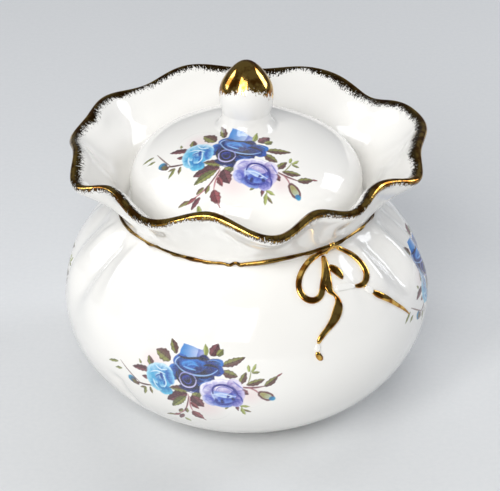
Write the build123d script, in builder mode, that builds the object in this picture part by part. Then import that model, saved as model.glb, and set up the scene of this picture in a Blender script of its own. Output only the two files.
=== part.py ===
from build123d import *
import math
import os

# A lidded trinket box of bone china, shaped as a drawstring pouch. Millimetres, +Z up.
# The origin is the centre of the foot, on the surface that the box stands on.
# The front is -Y. An angle round the box is counted from the front, positive towards +X.

# Pouch belly: an ellipsoid cut flat at the foot.
belly_radius = 51.0
belly_half_height = 36.3
belly_centre_height = 31.0
wall = 3.2
floor_top = 3.6

# Foot ring: the unglazed rim that the box stands on, round a shallow recess.
foot_radius = 26.5
foot_ring_width = 3.5
foot_recess = 1.4
foot_slope = 0.8

# Neck: where the cord draws the pouch in and the collar begins.
neck_height = 57.7
neck_radius = 35.0

# Seat for the lid: a flat ledge inside the neck, round the mouth.
seat_height = 59.85
seat_radius = 32.4
mouth_radius = 28.0

# Collar: a ruffle that flares from the neck to a waved rim of mean radius and height.
rim_radius = 48.8
rim_height = 75.8

# The waves of the rim, one knot for each crest and hollow: angle, radius, height.
rim_knots = [
    (-172, 48.6, 76.0),
    (-158, 49.6, 77.0),
    (-141, 47.6, 74.8),
    (-126, 49.2, 75.6),
    (-110, 47.6, 75.2),
    (-95, 48.4, 74.6),
    (-77, 47.4, 76.6),
    (-62, 50.9, 73.9),
    (-51, 47.9, 76.6),
    (-31, 50.4, 73.8),
    (-11, 47.6, 77.4),
    (11, 50.6, 72.8),
    (22, 48.0, 76.6),
    (34, 49.6, 75.0),
    (46, 47.2, 77.4),
    (56, 47.6, 76.8),
    (66, 50.2, 74.6),
    (78, 47.8, 76.2),
    (101, 50.4, 76.4),
    (119, 48.6, 76.2),
    (129, 47.2, 74.2),
    (146, 49.2, 76.0),
    (160, 49.4, 76.6),
    (175, 48.2, 75.2),
]

# Section through the collar's wall: from the neck up the outside, over the lip, down the inside to the seat.
collar_section = [
    (neck_radius, neck_height),
    (35.7, 59.7),
    (37.3, 62.4),
    (40.4, 66.8),
    (44.7, 71.4),
    (48.2, 74.9),
    (48.8, 76.2),
    (47.9, 77.1),
    (46.5, 76.8),
    (42.6, 72.9),
    (38.1, 68.0),
    (34.8, 63.2),
    (33.0, 60.9),
    (seat_radius, seat_height),
]
collar_ring_count = 32
full_wave_height = 74.4
wave_growth = 1.4

# Lid: a dome on a short upright side, over a locating flange that drops into the mouth.
lid_radius = 31.8
lid_edge_height = 65.4
lid_under = 60.05
dome_height = 16.2
lid_wall = 2.6
flange_radius = 27.5
flange_inner_radius = 25.3
flange_bottom = 54.5
flange_break = 0.6

# The dome's hollow is an elliptical arc from above the flange to a tiny flat at its top, in degrees.
hollow_start = 12.0
hollow_end = 89.5

# Knob: a closed bud on a short stem that flares out of the dome.
stem_foot_radius = 9.0
stem_radius = 6.6
stem_top = 85.5
knob_radius = 7.35
knob_widest_height = 90.3
knob_top = 100.0

# Drawstring: a cord in relief round the neck, tied in a bow at the front right.
cord_radius = 0.95
cord_lift = 0.45
knot_radius = 2.3
knot_place = (39.0, 57.4)

# Routes of the bow's cords over the belly: angle and height at each turn.
bow_routes = {
    "bow_loop_left": [
        (36.4, 58.2), (30, 57.7), (24, 56.4), (20, 54), (18.5, 51.6),
        (20, 49.8), (23.5, 49.2), (27, 49.9), (30, 52), (33, 54.4), (36, 56),
    ],
    "bow_loop_right": [
        (40, 57.6), (45, 56.2), (47.6, 54.2), (48, 52), (46.4, 49.9),
        (43.2, 49), (40, 49.4), (37.6, 50.8), (36.6, 53), (38, 55.8),
    ],
    "bow_tail_left": [
        (31.5, 51.4), (32.6, 49), (31.8, 46.6), (29.4, 44.2), (26.4, 42.2), (23.4, 40), (22, 37.8), (22.2, 35.4),
    ],
    "bow_tail_right": [(44.6, 49.2), (46, 46.8), (49, 44.6), (53, 42.4), (56.6, 39.4), (60, 36)],
    "bow_tongue": [(33.4, 55), (35.6, 54.2), (36.8, 52.4)],
}


def belly_curve(reach, half_height, low, high):
    """An elliptical arc of the pouch's section, from one height to another."""
    start = math.degrees(math.asin((low - belly_centre_height) / half_height))
    end = math.degrees(math.asin((high - belly_centre_height) / half_height))
    return EllipticalCenterArc((0, belly_centre_height), reach, half_height, start_angle=start, arc_size=end - start)


def place(angle, radius, height):
    """The point at an angle round the box, counted from the front."""
    turn = math.radians(angle)
    return (radius * math.sin(turn), -radius * math.cos(turn), height)


def on_belly(angle, height, lift):
    """The point that stands a given lift proud of the belly."""
    rise = (height - belly_centre_height) / (belly_half_height + lift)
    return place(angle, (belly_radius + lift) * math.sqrt(1 - rise * rise), height)


def wave_share(height):
    """How much of the rim's waves reaches a height: none at the lid's seat, all at the rim."""
    climb = (height - seat_height) / (full_wave_height - seat_height)
    return min(max(climb, 0), 1) ** wave_growth


# Collar: rings evenly spaced along its section, each waved by its share, lofted into a bowl
# whose floor becomes the lid's seat once the mouth is cut through it.
with BuildLine() as collar_outline:
    wall_line = Spline(*collar_section)
rings = []
for step in range(collar_ring_count + 1):
    mean = wall_line @ (step / collar_ring_count)
    share = wave_share(mean.Y)
    knots = []
    for angle, wave_radius, wave_height in rim_knots:
        radius = mean.X + share * (wave_radius - rim_radius)
        height = mean.Y + share * (wave_height - rim_height)
        knots.append(place(angle, radius, height))
    with BuildLine() as ring:
        Spline(*knots, periodic=True)
    rings.append(ring.wire())
with BuildPart() as ruffled_collar:
    add(Solid.make_loft(rings))
    with BuildSketch(Plane.XY.offset(neck_height)):
        Circle(mouth_radius)
    extrude(amount=seat_height - neck_height, mode=Mode.SUBTRACT)
ruffled_collar.part.label = "ruffled_collar"

# Pouch belly: round shell with its foot ring, open at the neck.
with BuildPart() as pouch_belly:
    with BuildSketch(Plane.XZ) as section:
        with BuildLine() as outline:
            outside = belly_curve(belly_radius, belly_half_height, 0, neck_height)
            inside = belly_curve(belly_radius - wall, belly_half_height - wall, floor_top, neck_height)
            Line(outside @ 1, inside @ 1)
            Polyline(
                inside @ 0,
                (0, floor_top),
                (0, foot_recess),
                (foot_radius - foot_ring_width - foot_slope, foot_recess),
                (foot_radius - foot_ring_width, 0),
                outside @ 0,
            )
        make_face()
    revolve(axis=Axis.Z)
pouch_belly.part.label = "pouch_belly"

# Lid: dome, stem and locating flange turned as one shell.
with BuildPart() as lid:
    with BuildSketch(Plane.XZ) as lid_section:
        with BuildLine() as lid_outline:
            stem_turn = math.acos(stem_foot_radius / lid_radius)
            dome = EllipticalCenterArc(
                (0, lid_edge_height), lid_radius, dome_height, start_angle=0, arc_size=math.degrees(stem_turn)
            )
            Spline(dome @ 1, (stem_radius, stem_top), tangents=(dome % 1, (0, 1)))
            hollow = EllipticalCenterArc(
                (0, lid_edge_height),
                lid_radius - lid_wall,
                dome_height - lid_wall,
                start_angle=hollow_start,
                arc_size=hollow_end - hollow_start,
            )
            hollow_top = hollow @ 1
            Polyline((stem_radius, stem_top), (0, stem_top), (0, hollow_top.Y), hollow_top)
            Polyline(
                hollow @ 0,
                (flange_inner_radius, lid_edge_height),
                (flange_inner_radius, flange_bottom + flange_break),
                (flange_inner_radius + flange_break, flange_bottom),
                (flange_radius - flange_break, flange_bottom),
                (flange_radius, flange_bottom + flange_break),
                (flange_radius, lid_under),
                (lid_radius - flange_break, lid_under),
                (lid_radius, lid_under + flange_break),
                dome @ 0,
            )
        make_face()
    revolve(axis=Axis.Z)
lid.part.label = "lid"

with BuildPart() as lid_knob:
    with BuildSketch(Plane.XZ) as knob_section:
        with BuildLine() as knob_outline:
            Spline(
                (stem_radius, stem_top),
                (knob_radius, knob_widest_height),
                (0.82 * knob_radius, knob_widest_height + 0.42 * (knob_top - knob_widest_height)),
                (0, knob_top),
                tangents=((0.05, 1), (-1, 0.12)),
            )
            Polyline((0, knob_top), (0, stem_top), (stem_radius, stem_top))
        make_face()
    revolve(axis=Axis.Z)
lid_knob.part.label = "lid_knob"

# Drawstring round the neck, half sunk in the groove between belly and collar.
with BuildPart() as neck_cord:
    with BuildSketch(Plane.XZ) as cord_section:
        with Locations((neck_radius + 0.25, neck_height)):
            Circle(cord_radius)
    revolve(axis=Axis.Z)
neck_cord.part.label = "neck_cord"

with BuildPart() as bow_knot:
    with Locations(on_belly(*knot_place, 0.9)):
        Sphere(knot_radius)
bow_knot.part.label = "bow_knot"

# Bow: loops and tails as round cords laid on the belly, with rounded ends.
bow_parts = []
for name, route in bow_routes.items():
    with BuildPart() as bow_part:
        with BuildLine() as path:
            line = Spline(*[on_belly(angle, height, cord_lift) for angle, height in route])
        with BuildSketch(Plane(origin=line @ 0, z_dir=line % 0)):
            Circle(cord_radius)
        sweep()
        with Locations(line @ 0, line @ 1):
            Sphere(cord_radius)
    bow_part.part.label = name
    bow_parts.append(bow_part.part)

os.makedirs("parts", exist_ok=True)
export_step(pouch_belly.part, "parts/pouch_belly.step")
export_step(ruffled_collar.part, "parts/ruffled_collar.step")
export_step(lid.part, "parts/lid.step")
export_step(lid_knob.part, "parts/lid_knob.step")
export_step(neck_cord.part, "parts/neck_cord.step")
export_step(bow_knot.part, "parts/bow_knot.step")
for bow_part in bow_parts:
    export_step(bow_part, f"parts/{bow_part.label}.step")
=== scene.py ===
"""Vanity trinket box: a bone-china drawstring pouch with a ruffled gilt collar and a domed lid.

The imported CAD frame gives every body, place and size. This file makes the visible surfaces: glazed
china, fired gold and the rose sprays under the glaze. Lengths are in metres unless a name or a
comment says millimetres; the lists of knots below are in millimetres and degrees.
"""
import math

import bpy
import numpy as np
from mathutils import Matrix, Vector
from mathutils.bvhtree import BVHTree


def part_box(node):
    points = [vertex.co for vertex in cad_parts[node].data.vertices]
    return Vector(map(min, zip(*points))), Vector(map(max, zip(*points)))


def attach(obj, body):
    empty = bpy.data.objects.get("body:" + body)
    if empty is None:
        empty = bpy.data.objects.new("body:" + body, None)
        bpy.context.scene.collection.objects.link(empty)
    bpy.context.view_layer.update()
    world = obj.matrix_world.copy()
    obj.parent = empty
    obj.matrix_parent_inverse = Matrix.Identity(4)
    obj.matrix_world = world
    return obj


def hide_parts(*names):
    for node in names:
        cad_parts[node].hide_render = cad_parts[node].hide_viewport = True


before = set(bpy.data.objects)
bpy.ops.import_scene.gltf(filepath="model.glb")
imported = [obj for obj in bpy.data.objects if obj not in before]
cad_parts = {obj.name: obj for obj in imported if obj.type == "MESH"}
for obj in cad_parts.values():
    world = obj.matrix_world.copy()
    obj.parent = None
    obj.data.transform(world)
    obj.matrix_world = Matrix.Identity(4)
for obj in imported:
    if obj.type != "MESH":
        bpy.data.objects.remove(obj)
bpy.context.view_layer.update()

bl_info = {
    "name": "Vanity trinket box",
    "version": (1, 0, 0),
    "blender": (4, 5, 0),
    "location": "View3D > Sidebar > Trinket box",
    "description": "Builds a glazed china pouch box with a gilt ruffle, a relief bow and rose sprays",
    "category": "Object",
}

MM = 0.001


def in_mm(value):
    """A length of the frame in millimetres, rounded to the tenths that it was designed in."""
    return round(value / MM, 1)


BELLY_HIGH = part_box("pouch_belly")[1]
LID_LOW, LID_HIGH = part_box("lid")
KNOB_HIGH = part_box("lid_knob")[1]

# The waves of the rim, one knot for each crest and hollow: angle from the front, radius, height.
RIM_KNOTS = [
    (-172, 48.6, 76.0), (-158, 49.6, 77.0), (-141, 47.6, 74.8), (-126, 49.2, 75.6), (-110, 47.6, 75.2),
    (-95, 48.4, 74.6), (-77, 47.4, 76.6), (-62, 50.9, 73.9), (-51, 47.9, 76.6), (-31, 50.4, 73.8),
    (-11, 47.6, 77.4), (11, 50.6, 72.8), (22, 48.0, 76.6), (34, 49.6, 75.0), (46, 47.2, 77.4),
    (56, 47.6, 76.8), (66, 50.2, 74.6), (78, 47.8, 76.2), (101, 50.4, 76.4), (119, 48.6, 76.2),
    (129, 47.2, 74.2), (146, 49.2, 76.0), (160, 49.4, 76.6), (175, 48.2, 75.2),
]
RIM_RADIUS = 48.8
RIM_HEIGHT = 75.8

# Section of the collar's wall: up the outside, over the lip, down the inside to the lid's seat.
COLLAR_OUTSIDE = [(35.0, 57.7), (35.7, 59.7), (37.3, 62.4), (40.4, 66.8), (44.7, 71.4), (48.2, 74.9)]
COLLAR_LIP = [(48.8, 76.2), (47.9, 77.1), (46.5, 76.8)]
COLLAR_INSIDE = [(42.6, 72.9), (38.1, 68.0), (34.8, 63.2), (33.0, 60.9), (32.4, 59.85)]
SEAT_HEIGHT = 59.85
MOUTH_RADIUS = 28.0
# From the seat round the mouth's edge, and back under the collar to the neck.
LEDGE = [(31.5, SEAT_HEIGHT), (30.2, SEAT_HEIGHT), (29.0, SEAT_HEIGHT), (28.5, 59.78), (28.15, 59.55),
         (MOUTH_RADIUS, 59.1), (MOUTH_RADIUS, 58.3), (MOUTH_RADIUS, 57.7),
         (30.0, 57.6), (32.0, 57.55), (34.0, 57.6)]
FAR_FROM_LIP = -30.0
FULL_WAVE_HEIGHT = 74.4
WAVE_GROWTH = 1.4

# The belly is an ellipsoid. The glazed outside keeps FILM_ROOM inside the CAD body, for the transfers.
BELLY_RADIUS = in_mm(BELLY_HIGH.x)
FILM_ROOM = 0.07
BELLY_REACH = BELLY_RADIUS - FILM_ROOM
BELLY_HALF = 36.3
BELLY_CENTRE = 31.0
BELLY_WALL = 3.2
BELLY_FLOOR = 3.6
FOOT_SLOPE_TOP = 0.35
# Under the foot, from the axis outwards: the shallow recess, then the ring.
FOOT_SECTION = [(0, 1.4), (22.1, 1.4), (22.4, 1.25), (22.9, 0.2), (23.2, 0.0), (26.2, 0.0), (26.5, 0.12)]
NECK_HEIGHT = in_mm(BELLY_HIGH.z)
NECK_RADIUS = 35.05
COLLAR_LEAN = 0.42
# The cord: how far off the belly its routes are first laid, how far its middle stands out (a share of its
# half-width), and the height its ribbons are pressed down to.
CORD_STAND = 0.45
CORD_PROUD = 0.32
RIBBON_HEIGHT = 0.62

# The lid: a dome on a short upright side, over a flange that drops into the mouth.
LID_RADIUS = in_mm(LID_HIGH.x)
LID_UNDER = 60.05
LID_EDGE = 65.4
LID_WALL = 2.6
DOME_HEIGHT = 16.2
STEM_FOOT = 9.0
STEM_TOP = in_mm(LID_HIGH.z)
FLANGE_INSIDE = 25.3
FLANGE_OUTSIDE = 27.5
FLANGE_BOTTOM = in_mm(LID_LOW.z)
FLANGE_BREAK = 0.6
KNOB_TOP = in_mm(KNOB_HIGH.z)

GLAZE_IOR = 1.52

# Soft folds pressed into the belly: angle at the top and at the bottom, height at the top and at
# the bottom, width, and how far the fold stands out (or, if negative, sinks in).
BELLY_FOLDS = [
    (-50, -57, 56, 33, 6.0, 1.0),
    (-61, -70, 57, 34, 4.5, -1.5),
    (-74, -78, 57, 36, 4.5, 0.8),
    (-86, -88, 56, 33, 5.0, -1.4),
    (-38, -43, 57, 45, 3.4, -0.7),
    (-45, -42, 24, 12, 3.0, -0.8),
    (52, 55, 57, 44, 3.0, 0.9),
    (59, 64, 57, 41, 3.2, -1.3),
    (68, 74, 57, 38, 3.4, 1.0),
    (78, 84, 57, 37, 3.6, -1.4),
    (92, 96, 57, 34, 5.0, -0.9),
]

# Routes of the drawstring over the belly: angle and height at each turn, and the cord's
# half-width there.
CORD_ROUTES = {
    "bow_loop_left": [
        (39.2, 58.9, 0.5), (37.2, 58.2, 0.6), (34.6, 57.8, 0.7), (31.8, 57.7, 0.75), (28.2, 57.3, 0.8),
        (23.8, 56.2, 0.8), (20.8, 54.7, 0.8), (19.6, 53.1, 0.8), (20.2, 51.3, 0.85), (22.8, 50.1, 0.9),
        (26.2, 50.4, 0.85), (28.6, 52.2, 0.85), (30.8, 54.0, 0.85), (32.8, 55.7, 0.8), (34.6, 57.4, 0.65),
    ],
    "bow_loop_right": [
        (40.4, 59.0, 0.5), (42.6, 58.0, 0.6), (45.8, 56.7, 0.7), (47.8, 54.9, 0.75), (48.5, 53.1, 0.8),
        (47.9, 51.3, 0.85), (45.6, 50.0, 0.8), (42.6, 49.9, 0.65), (40.8, 50.3, 0.35),
    ],
    "bow_tail_left": [
        (34.4, 57.0, 0.6), (33.2, 55.4, 0.85), (31.8, 53.4, 0.95), (30.7, 51.9, 1.15), (30.9, 50.8, 0.8),
        (32.0, 49.9, 0.5), (32.4, 48.8, 0.75), (31.5, 47.1, 1.3), (29.8, 45.5, 1.3), (27.0, 43.7, 0.9),
        (24.4, 42.2, 0.75), (22.9, 41.0, 0.65), (22.2, 40.0, 0.4),
    ],
    "bow_tail_right": [
        (46.4, 47.8, 0.4), (48.0, 46.6, 0.85), (50.8, 44.8, 0.85), (54.6, 42.1, 0.6), (58.2, 39.1, 0.4),
        (61.0, 36.3, 0.15),
    ],
    "bow_tongue": [(33.8, 55.4, 0.7), (35.5, 54.8, 1.05), (37.0, 53.6, 1.05), (37.4, 52.3, 0.4)],
}

# Short runs of the bow laid as white china relief without gold: partly relief left bare, partly a painted
# highlight for the glare on the gold there; and the gilt ends beyond them.
BARE_AND_GLARE_ROUTES = [
    [(41.2, 50.1, 0.5), (38.6, 50.6, 0.9), (35.8, 51.0, 1.0), (33.0, 50.9, 0.8)],
    [(44.8, 49.3, 0.5), (45.8, 48.3, 0.75), (47.0, 47.2, 0.7)],
    [(22.3, 40.3, 0.5), (22.0, 39.2, 0.7), (21.7, 38.0, 0.6)],
]
GILT_ENDS = {
    "bow_tail_left": [(21.7, 38.3, 0.6), (21.9, 37.2, 0.8), (22.6, 36.2, 0.75), (23.2, 35.6, 0.4)],
    "bow_tail_right": [(44.4, 50.1, 0.35), (45.0, 49.2, 0.45), (45.8, 48.5, 0.35)],
}


# ---------------------------------------------------------------- small tools

# The knot: one strand, and a second crossing over it.
KNOT_ROUTES = [
    [(36.6, 57.4, 0.45), (37.8, 58.5, 0.7), (39.2, 59.6, 0.8), (40.6, 59.7, 0.6)],
    [(37.4, 59.7, 0.5), (39.2, 58.9, 0.8), (41.0, 58.5, 0.6)],
]

# The studio's lights: name, azimuth and elevation in degrees, distance, width and height in metres, power,
# colour, and whether glaze and gold mirror it.
# The key light is a tall window of two panes, to the left of the camera.
LIGHTS = [
    ("window_left_pane", -31.5, 36, 0.9, 0.19, 0.5, 2.6, "#FFFEFB", True),
    ("window_right_pane", -8.5, 32, 0.9, 0.33, 0.5, 4.3, "#FFFEFB", True),
    ("fill_left", -104, 24, 0.9, 0.3, 0.4, 1.8, "#F6F9FF", True),
    ("fill_right", 108, 26, 0.9, 0.3, 0.45, 2.6, "#F6F9FF", True),
    ("top_light", 170, 68, 1.1, 0.8, 0.6, 3.6, "#FFFFFF", False),
]

# The camera: its elevation in degrees, then in millimetres its distance, the width it sees there, and how far
# to the right and up the view's middle lies from the belly's.
CAMERA_ELEVATION = 29.13
CAMERA_DISTANCE = 584
FIELD_WIDTH = 140.9
AIM_RIGHT = 1.0
AIM_UP = 11.2


def linear(hex_colour, strength=1.0):
    """An sRGB hex colour as linear RGBA."""
    channels = [int(hex_colour[i:i + 2], 16) / 255 for i in (1, 3, 5)]
    lin = [c / 12.92 if c <= 0.04045 else ((c + 0.055) / 1.055) ** 2.4 for c in channels]
    return (*[c * strength for c in lin], 1.0)


def spline(params, values, period=None):
    """A smooth cubic curve through values at the given params; closed if it has a period."""
    params = np.asarray(params, float)
    values = np.asarray(values, float).reshape(len(params), -1)
    count = len(params)
    if period:
        params = np.append(params, params[0] + period)
        values = np.vstack([values, values[:1]])
    gaps = np.diff(params)[:, None]
    slopes = np.diff(values, axis=0) / gaps
    size = len(params)
    matrix = np.zeros((size, size))
    right = np.zeros_like(values)
    for i in range(1, size - 1):
        matrix[i, i - 1:i + 2] = gaps[i - 1, 0], 2 * (gaps[i - 1, 0] + gaps[i, 0]), gaps[i, 0]
        right[i] = 6 * (slopes[i] - slopes[i - 1])
    if period:
        matrix[0, [0, 1, count - 1]] = 2 * (gaps[-1, 0] + gaps[0, 0]), gaps[0, 0], gaps[-1, 0]
        right[0] = 6 * (slopes[0] - slopes[-1])
        matrix[-1, [0, -1]] = 1, -1
    else:
        matrix[0, 0] = matrix[-1, -1] = 1
    bends = np.linalg.solve(matrix, right)

    def at(where):
        where = np.asarray(where, float)
        if period:
            where = (where - params[0]) % period + params[0]
        i = np.clip(np.searchsorted(params, where, side="right") - 1, 0, size - 2)
        gap = gaps[i]
        b = (where[:, None] - params[i][:, None]) / gap
        a = 1 - b
        bend = ((a ** 3 - a) * bends[i] + (b ** 3 - b) * bends[i + 1]) * gap ** 2 / 6
        return a * values[i] + b * values[i + 1] + bend

    return at


def evenly(points, spacing):
    """A line of points resampled at an even spacing along its length."""
    points = np.asarray(points, float)
    steps = np.linalg.norm(np.diff(points, axis=0), axis=1)
    length = np.concatenate([[0], np.cumsum(steps)])
    count = max(2, round(length[-1] / spacing) + 1)
    where = np.linspace(0, length[-1], count)
    return np.stack([np.interp(where, length, points[:, k]) for k in range(points.shape[1])], axis=1)


def smooth_line(points, spacing):
    """An even line of points along a smooth curve through a few knots."""
    points = np.asarray(points, float)
    chord = np.concatenate([[0], np.cumsum(np.linalg.norm(np.diff(points, axis=0), axis=1))])
    return evenly(spline(chord, points)(np.linspace(0, chord[-1], 40 * len(points))), spacing)


def arc(centre_height, reach, half_height, low, high, spacing):
    """Points along an elliptical section, from one height to another."""
    ends = [math.asin((h - centre_height) / half_height) for h in (low, high)]
    turn = np.linspace(*ends, 400)
    points = np.stack([reach * np.cos(turn), centre_height + half_height * np.sin(turn)], axis=1)
    return evenly(points, spacing)


def around(angle, radius, height):
    """Points at an angle in degrees from the front, as an array of x, y, z."""
    turn = np.radians(angle)
    return np.stack(np.broadcast_arrays(radius * np.sin(turn), -radius * np.cos(turn), height), axis=-1)


def soft_step(low, high, value):
    """0 below low, 1 above high, eased between."""
    t = np.clip((value - low) / (high - low), 0, 1)
    return t * t * (3 - 2 * t)


def new_mesh(name, points, faces, material, sharp=None):
    """A smooth-shaded object from points in millimetres and faces."""
    mesh = bpy.data.meshes.new(name)
    mesh.from_pydata((np.asarray(points) * MM).tolist(), [], faces)
    mesh.validate()
    mesh.polygons.foreach_set("use_smooth", [True] * len(mesh.polygons))
    if sharp is not None:
        mesh.set_sharp_from_angle(angle=math.radians(sharp))
    mesh.materials.append(material)
    piece = bpy.data.objects.new(name, mesh)
    bpy.context.scene.collection.objects.link(piece)
    return piece


def turned_faces(rows, columns):
    """Faces of a turned shell whose first and last rows are single pole points."""
    faces = []
    ring = [[1 + r * columns + c for c in range(columns)] for r in range(rows - 2)]
    last = 1 + (rows - 2) * columns
    for c in range(columns):
        d = (c + 1) % columns
        faces.append((0, ring[0][d], ring[0][c]))
        faces.append((last, ring[-1][c], ring[-1][d]))
    for low, high in zip(ring, ring[1:]):
        for c in range(columns):
            d = (c + 1) % columns
            faces.append((low[c], low[d], high[d], high[c]))
    return faces


def ring_faces(rows, columns):
    """Faces of a ring whose section is closed: the last row joins the first."""
    faces = []
    for r in range(rows):
        s = (r + 1) % rows
        for c in range(columns):
            d = (c + 1) % columns
            faces.append((r * columns + c, r * columns + d, s * columns + d, s * columns + c))
    return faces


def read_vertices(piece, field="co"):
    """One row for each vertex of a piece: its place, or with field normal its normal."""
    rows = np.empty(len(piece.data.vertices) * 3)
    piece.data.vertices.foreach_get(field, rows)
    return rows.reshape(-1, 3)


def point_outwards(piece):
    """Turns a closed mesh's faces outwards."""
    mesh = piece.data
    mesh.calc_loop_triangles()
    corners = np.empty(len(mesh.loop_triangles) * 3, int)
    mesh.loop_triangles.foreach_get("vertices", corners)
    a, b, c = read_vertices(piece)[corners.reshape(-1, 3)].transpose(1, 0, 2)
    if np.einsum("ij,ij->", a, np.cross(b, c)) < 0:
        mesh.flip_normals()


def give(piece, name, values, kind="FLOAT"):
    """Stores one value for each vertex of a piece."""
    layer = piece.data.attributes.new(name, kind, "POINT")
    field = "color" if kind == "FLOAT_COLOR" else "value"
    layer.data.foreach_set(field, np.asarray(values, float).ravel())


def turned(name, outline, columns, material, sharp=None):
    """A shell turned round Z from an outline of (radius, height) whose ends lie on the axis."""
    turns = np.arange(columns) * 360 / columns
    rings = [around(turns, r, z) for r, z in outline[1:-1]]
    points = np.vstack([[[0, 0, outline[0][1]]], *rings, [[0, 0, outline[-1][1]]]])
    piece = new_mesh(name, points, turned_faces(len(outline), columns), material, sharp)
    point_outwards(piece)
    return piece


# ---------------------------------------------------------------- node trees

def node(tree, kind, inputs=None, **settings):
    """Adds a node: settings are its own properties, inputs its sockets' values or links."""
    made = tree.nodes.new(kind)
    for name, value in settings.items():
        setattr(made, name, value)
    for socket, value in (inputs or {}).items():
        if isinstance(value, bpy.types.NodeSocket):
            tree.links.new(value, made.inputs[socket])
        else:
            made.inputs[socket].default_value = value
    return made


def math_of(tree, operation, *values, clamp=False):
    """The output of a Math node."""
    made = node(tree, "ShaderNodeMath", dict(enumerate(values)), operation=operation, use_clamp=clamp)
    return made.outputs[0]


def ramp_of(tree, value, low, high):
    """Eases a value from 0 at low to 1 at high."""
    inputs = {"Value": value, "From Min": low, "From Max": high}
    return node(tree, "ShaderNodeMapRange", inputs, interpolation_type="SMOOTHSTEP").outputs[0]


def shape_tree(name, sizes):
    """A geometry tree with named size inputs: the tree, the sockets it is given and how to close it."""
    tree = bpy.data.node_groups.new(name, "GeometryNodeTree")
    tree.interface.new_socket("Shape", in_out="INPUT", socket_type="NodeSocketGeometry")
    for size, value in sizes.items():
        socket = tree.interface.new_socket(size, in_out="INPUT", socket_type="NodeSocketFloat")
        socket.default_value = value
    tree.interface.new_socket("Finish", in_out="INPUT", socket_type="NodeSocketMaterial")
    tree.interface.new_socket("Shape", in_out="OUTPUT", socket_type="NodeSocketGeometry")
    given = node(tree, "NodeGroupInput").outputs

    def close(shape):
        real = node(tree, "GeometryNodeRealizeInstances", {"Geometry": shape})
        coat = {"Geometry": real.outputs[0], "Material": given["Finish"]}
        finish = node(tree, "GeometryNodeSetMaterial", coat)
        node(tree, "NodeGroupOutput", {0: finish.outputs[0]})
        return tree

    return tree, given, close


def grown(piece, tree, material, **sizes):
    """Runs a geometry tree on a piece and keeps the result as a plain mesh."""
    modifier = piece.modifiers.new(tree.name, "NODES")
    modifier.node_group = tree
    for item in tree.interface.items_tree:
        if item.in_out == "INPUT" and item.name == "Finish":
            modifier[item.identifier] = material
        elif item.in_out == "INPUT" and item.name in sizes:
            modifier[item.identifier] = sizes[item.name]
    graph = bpy.context.evaluated_depsgraph_get()
    made = bpy.data.meshes.new_from_object(piece.evaluated_get(graph), depsgraph=graph)
    old = piece.data
    piece.modifiers.clear()
    piece.data = made
    bpy.data.meshes.remove(old)
    made.name = piece.name
    return piece


def position(tree):
    """The position's socket and its x, y and z."""
    where = node(tree, "GeometryNodeInputPosition").outputs[0]
    return where, node(tree, "ShaderNodeSeparateXYZ", {0: where}).outputs


def stored(tree, name, kind="FLOAT"):
    """A value stored on the mesh."""
    return node(tree, "GeometryNodeInputNamedAttribute", {"Name": name}, data_type=kind).outputs[0]


def ruffle_tree():
    """Waves the collar: none of the rim's waves at the lid's seat, all of them near the lip."""
    sizes = {"Seat height": SEAT_HEIGHT * MM, "Full wave height": FULL_WAVE_HEIGHT * MM,
             "Wave growth": WAVE_GROWTH, "Hand wobble": 0.0, "Wobble size": 12 * MM}
    tree, given, close = shape_tree("Ruffle", sizes)
    where, xyz = position(tree)
    climb = node(tree, "ShaderNodeMapRange", {
        "Value": xyz[2], "From Min": given["Seat height"], "From Max": given["Full wave height"]}).outputs[0]
    share = math_of(tree, "POWER", climb, given["Wave growth"])
    flat = node(tree, "ShaderNodeCombineXYZ", {0: xyz[0], 1: xyz[1]}).outputs[0]
    outward = node(tree, "ShaderNodeVectorMath", {0: flat}, operation="NORMALIZE").outputs[0]
    fine = math_of(tree, "DIVIDE", 1.0, given["Wobble size"])
    noise = node(tree, "ShaderNodeTexNoise", {"Vector": where, "Scale": fine, "Detail": 1.0}).outputs[0]
    wobble = math_of(tree, "MULTIPLY", math_of(tree, "SUBTRACT", noise, 0.5), given["Hand wobble"])
    push = math_of(tree, "ADD", stored(tree, "wave_out"), wobble)
    side = node(tree, "ShaderNodeVectorMath", {0: outward, "Scale": math_of(tree, "MULTIPLY", push, share)},
                operation="SCALE").outputs[0]
    rise = math_of(tree, "MULTIPLY", stored(tree, "wave_up"), share)
    lift = node(tree, "ShaderNodeCombineXYZ", {2: rise}).outputs[0]
    offset = node(tree, "ShaderNodeVectorMath", {0: side, 1: lift}, operation="ADD").outputs[0]
    moved = node(tree, "GeometryNodeSetPosition", {"Geometry": given["Shape"], "Offset": offset})
    return close(moved.outputs[0])


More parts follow.
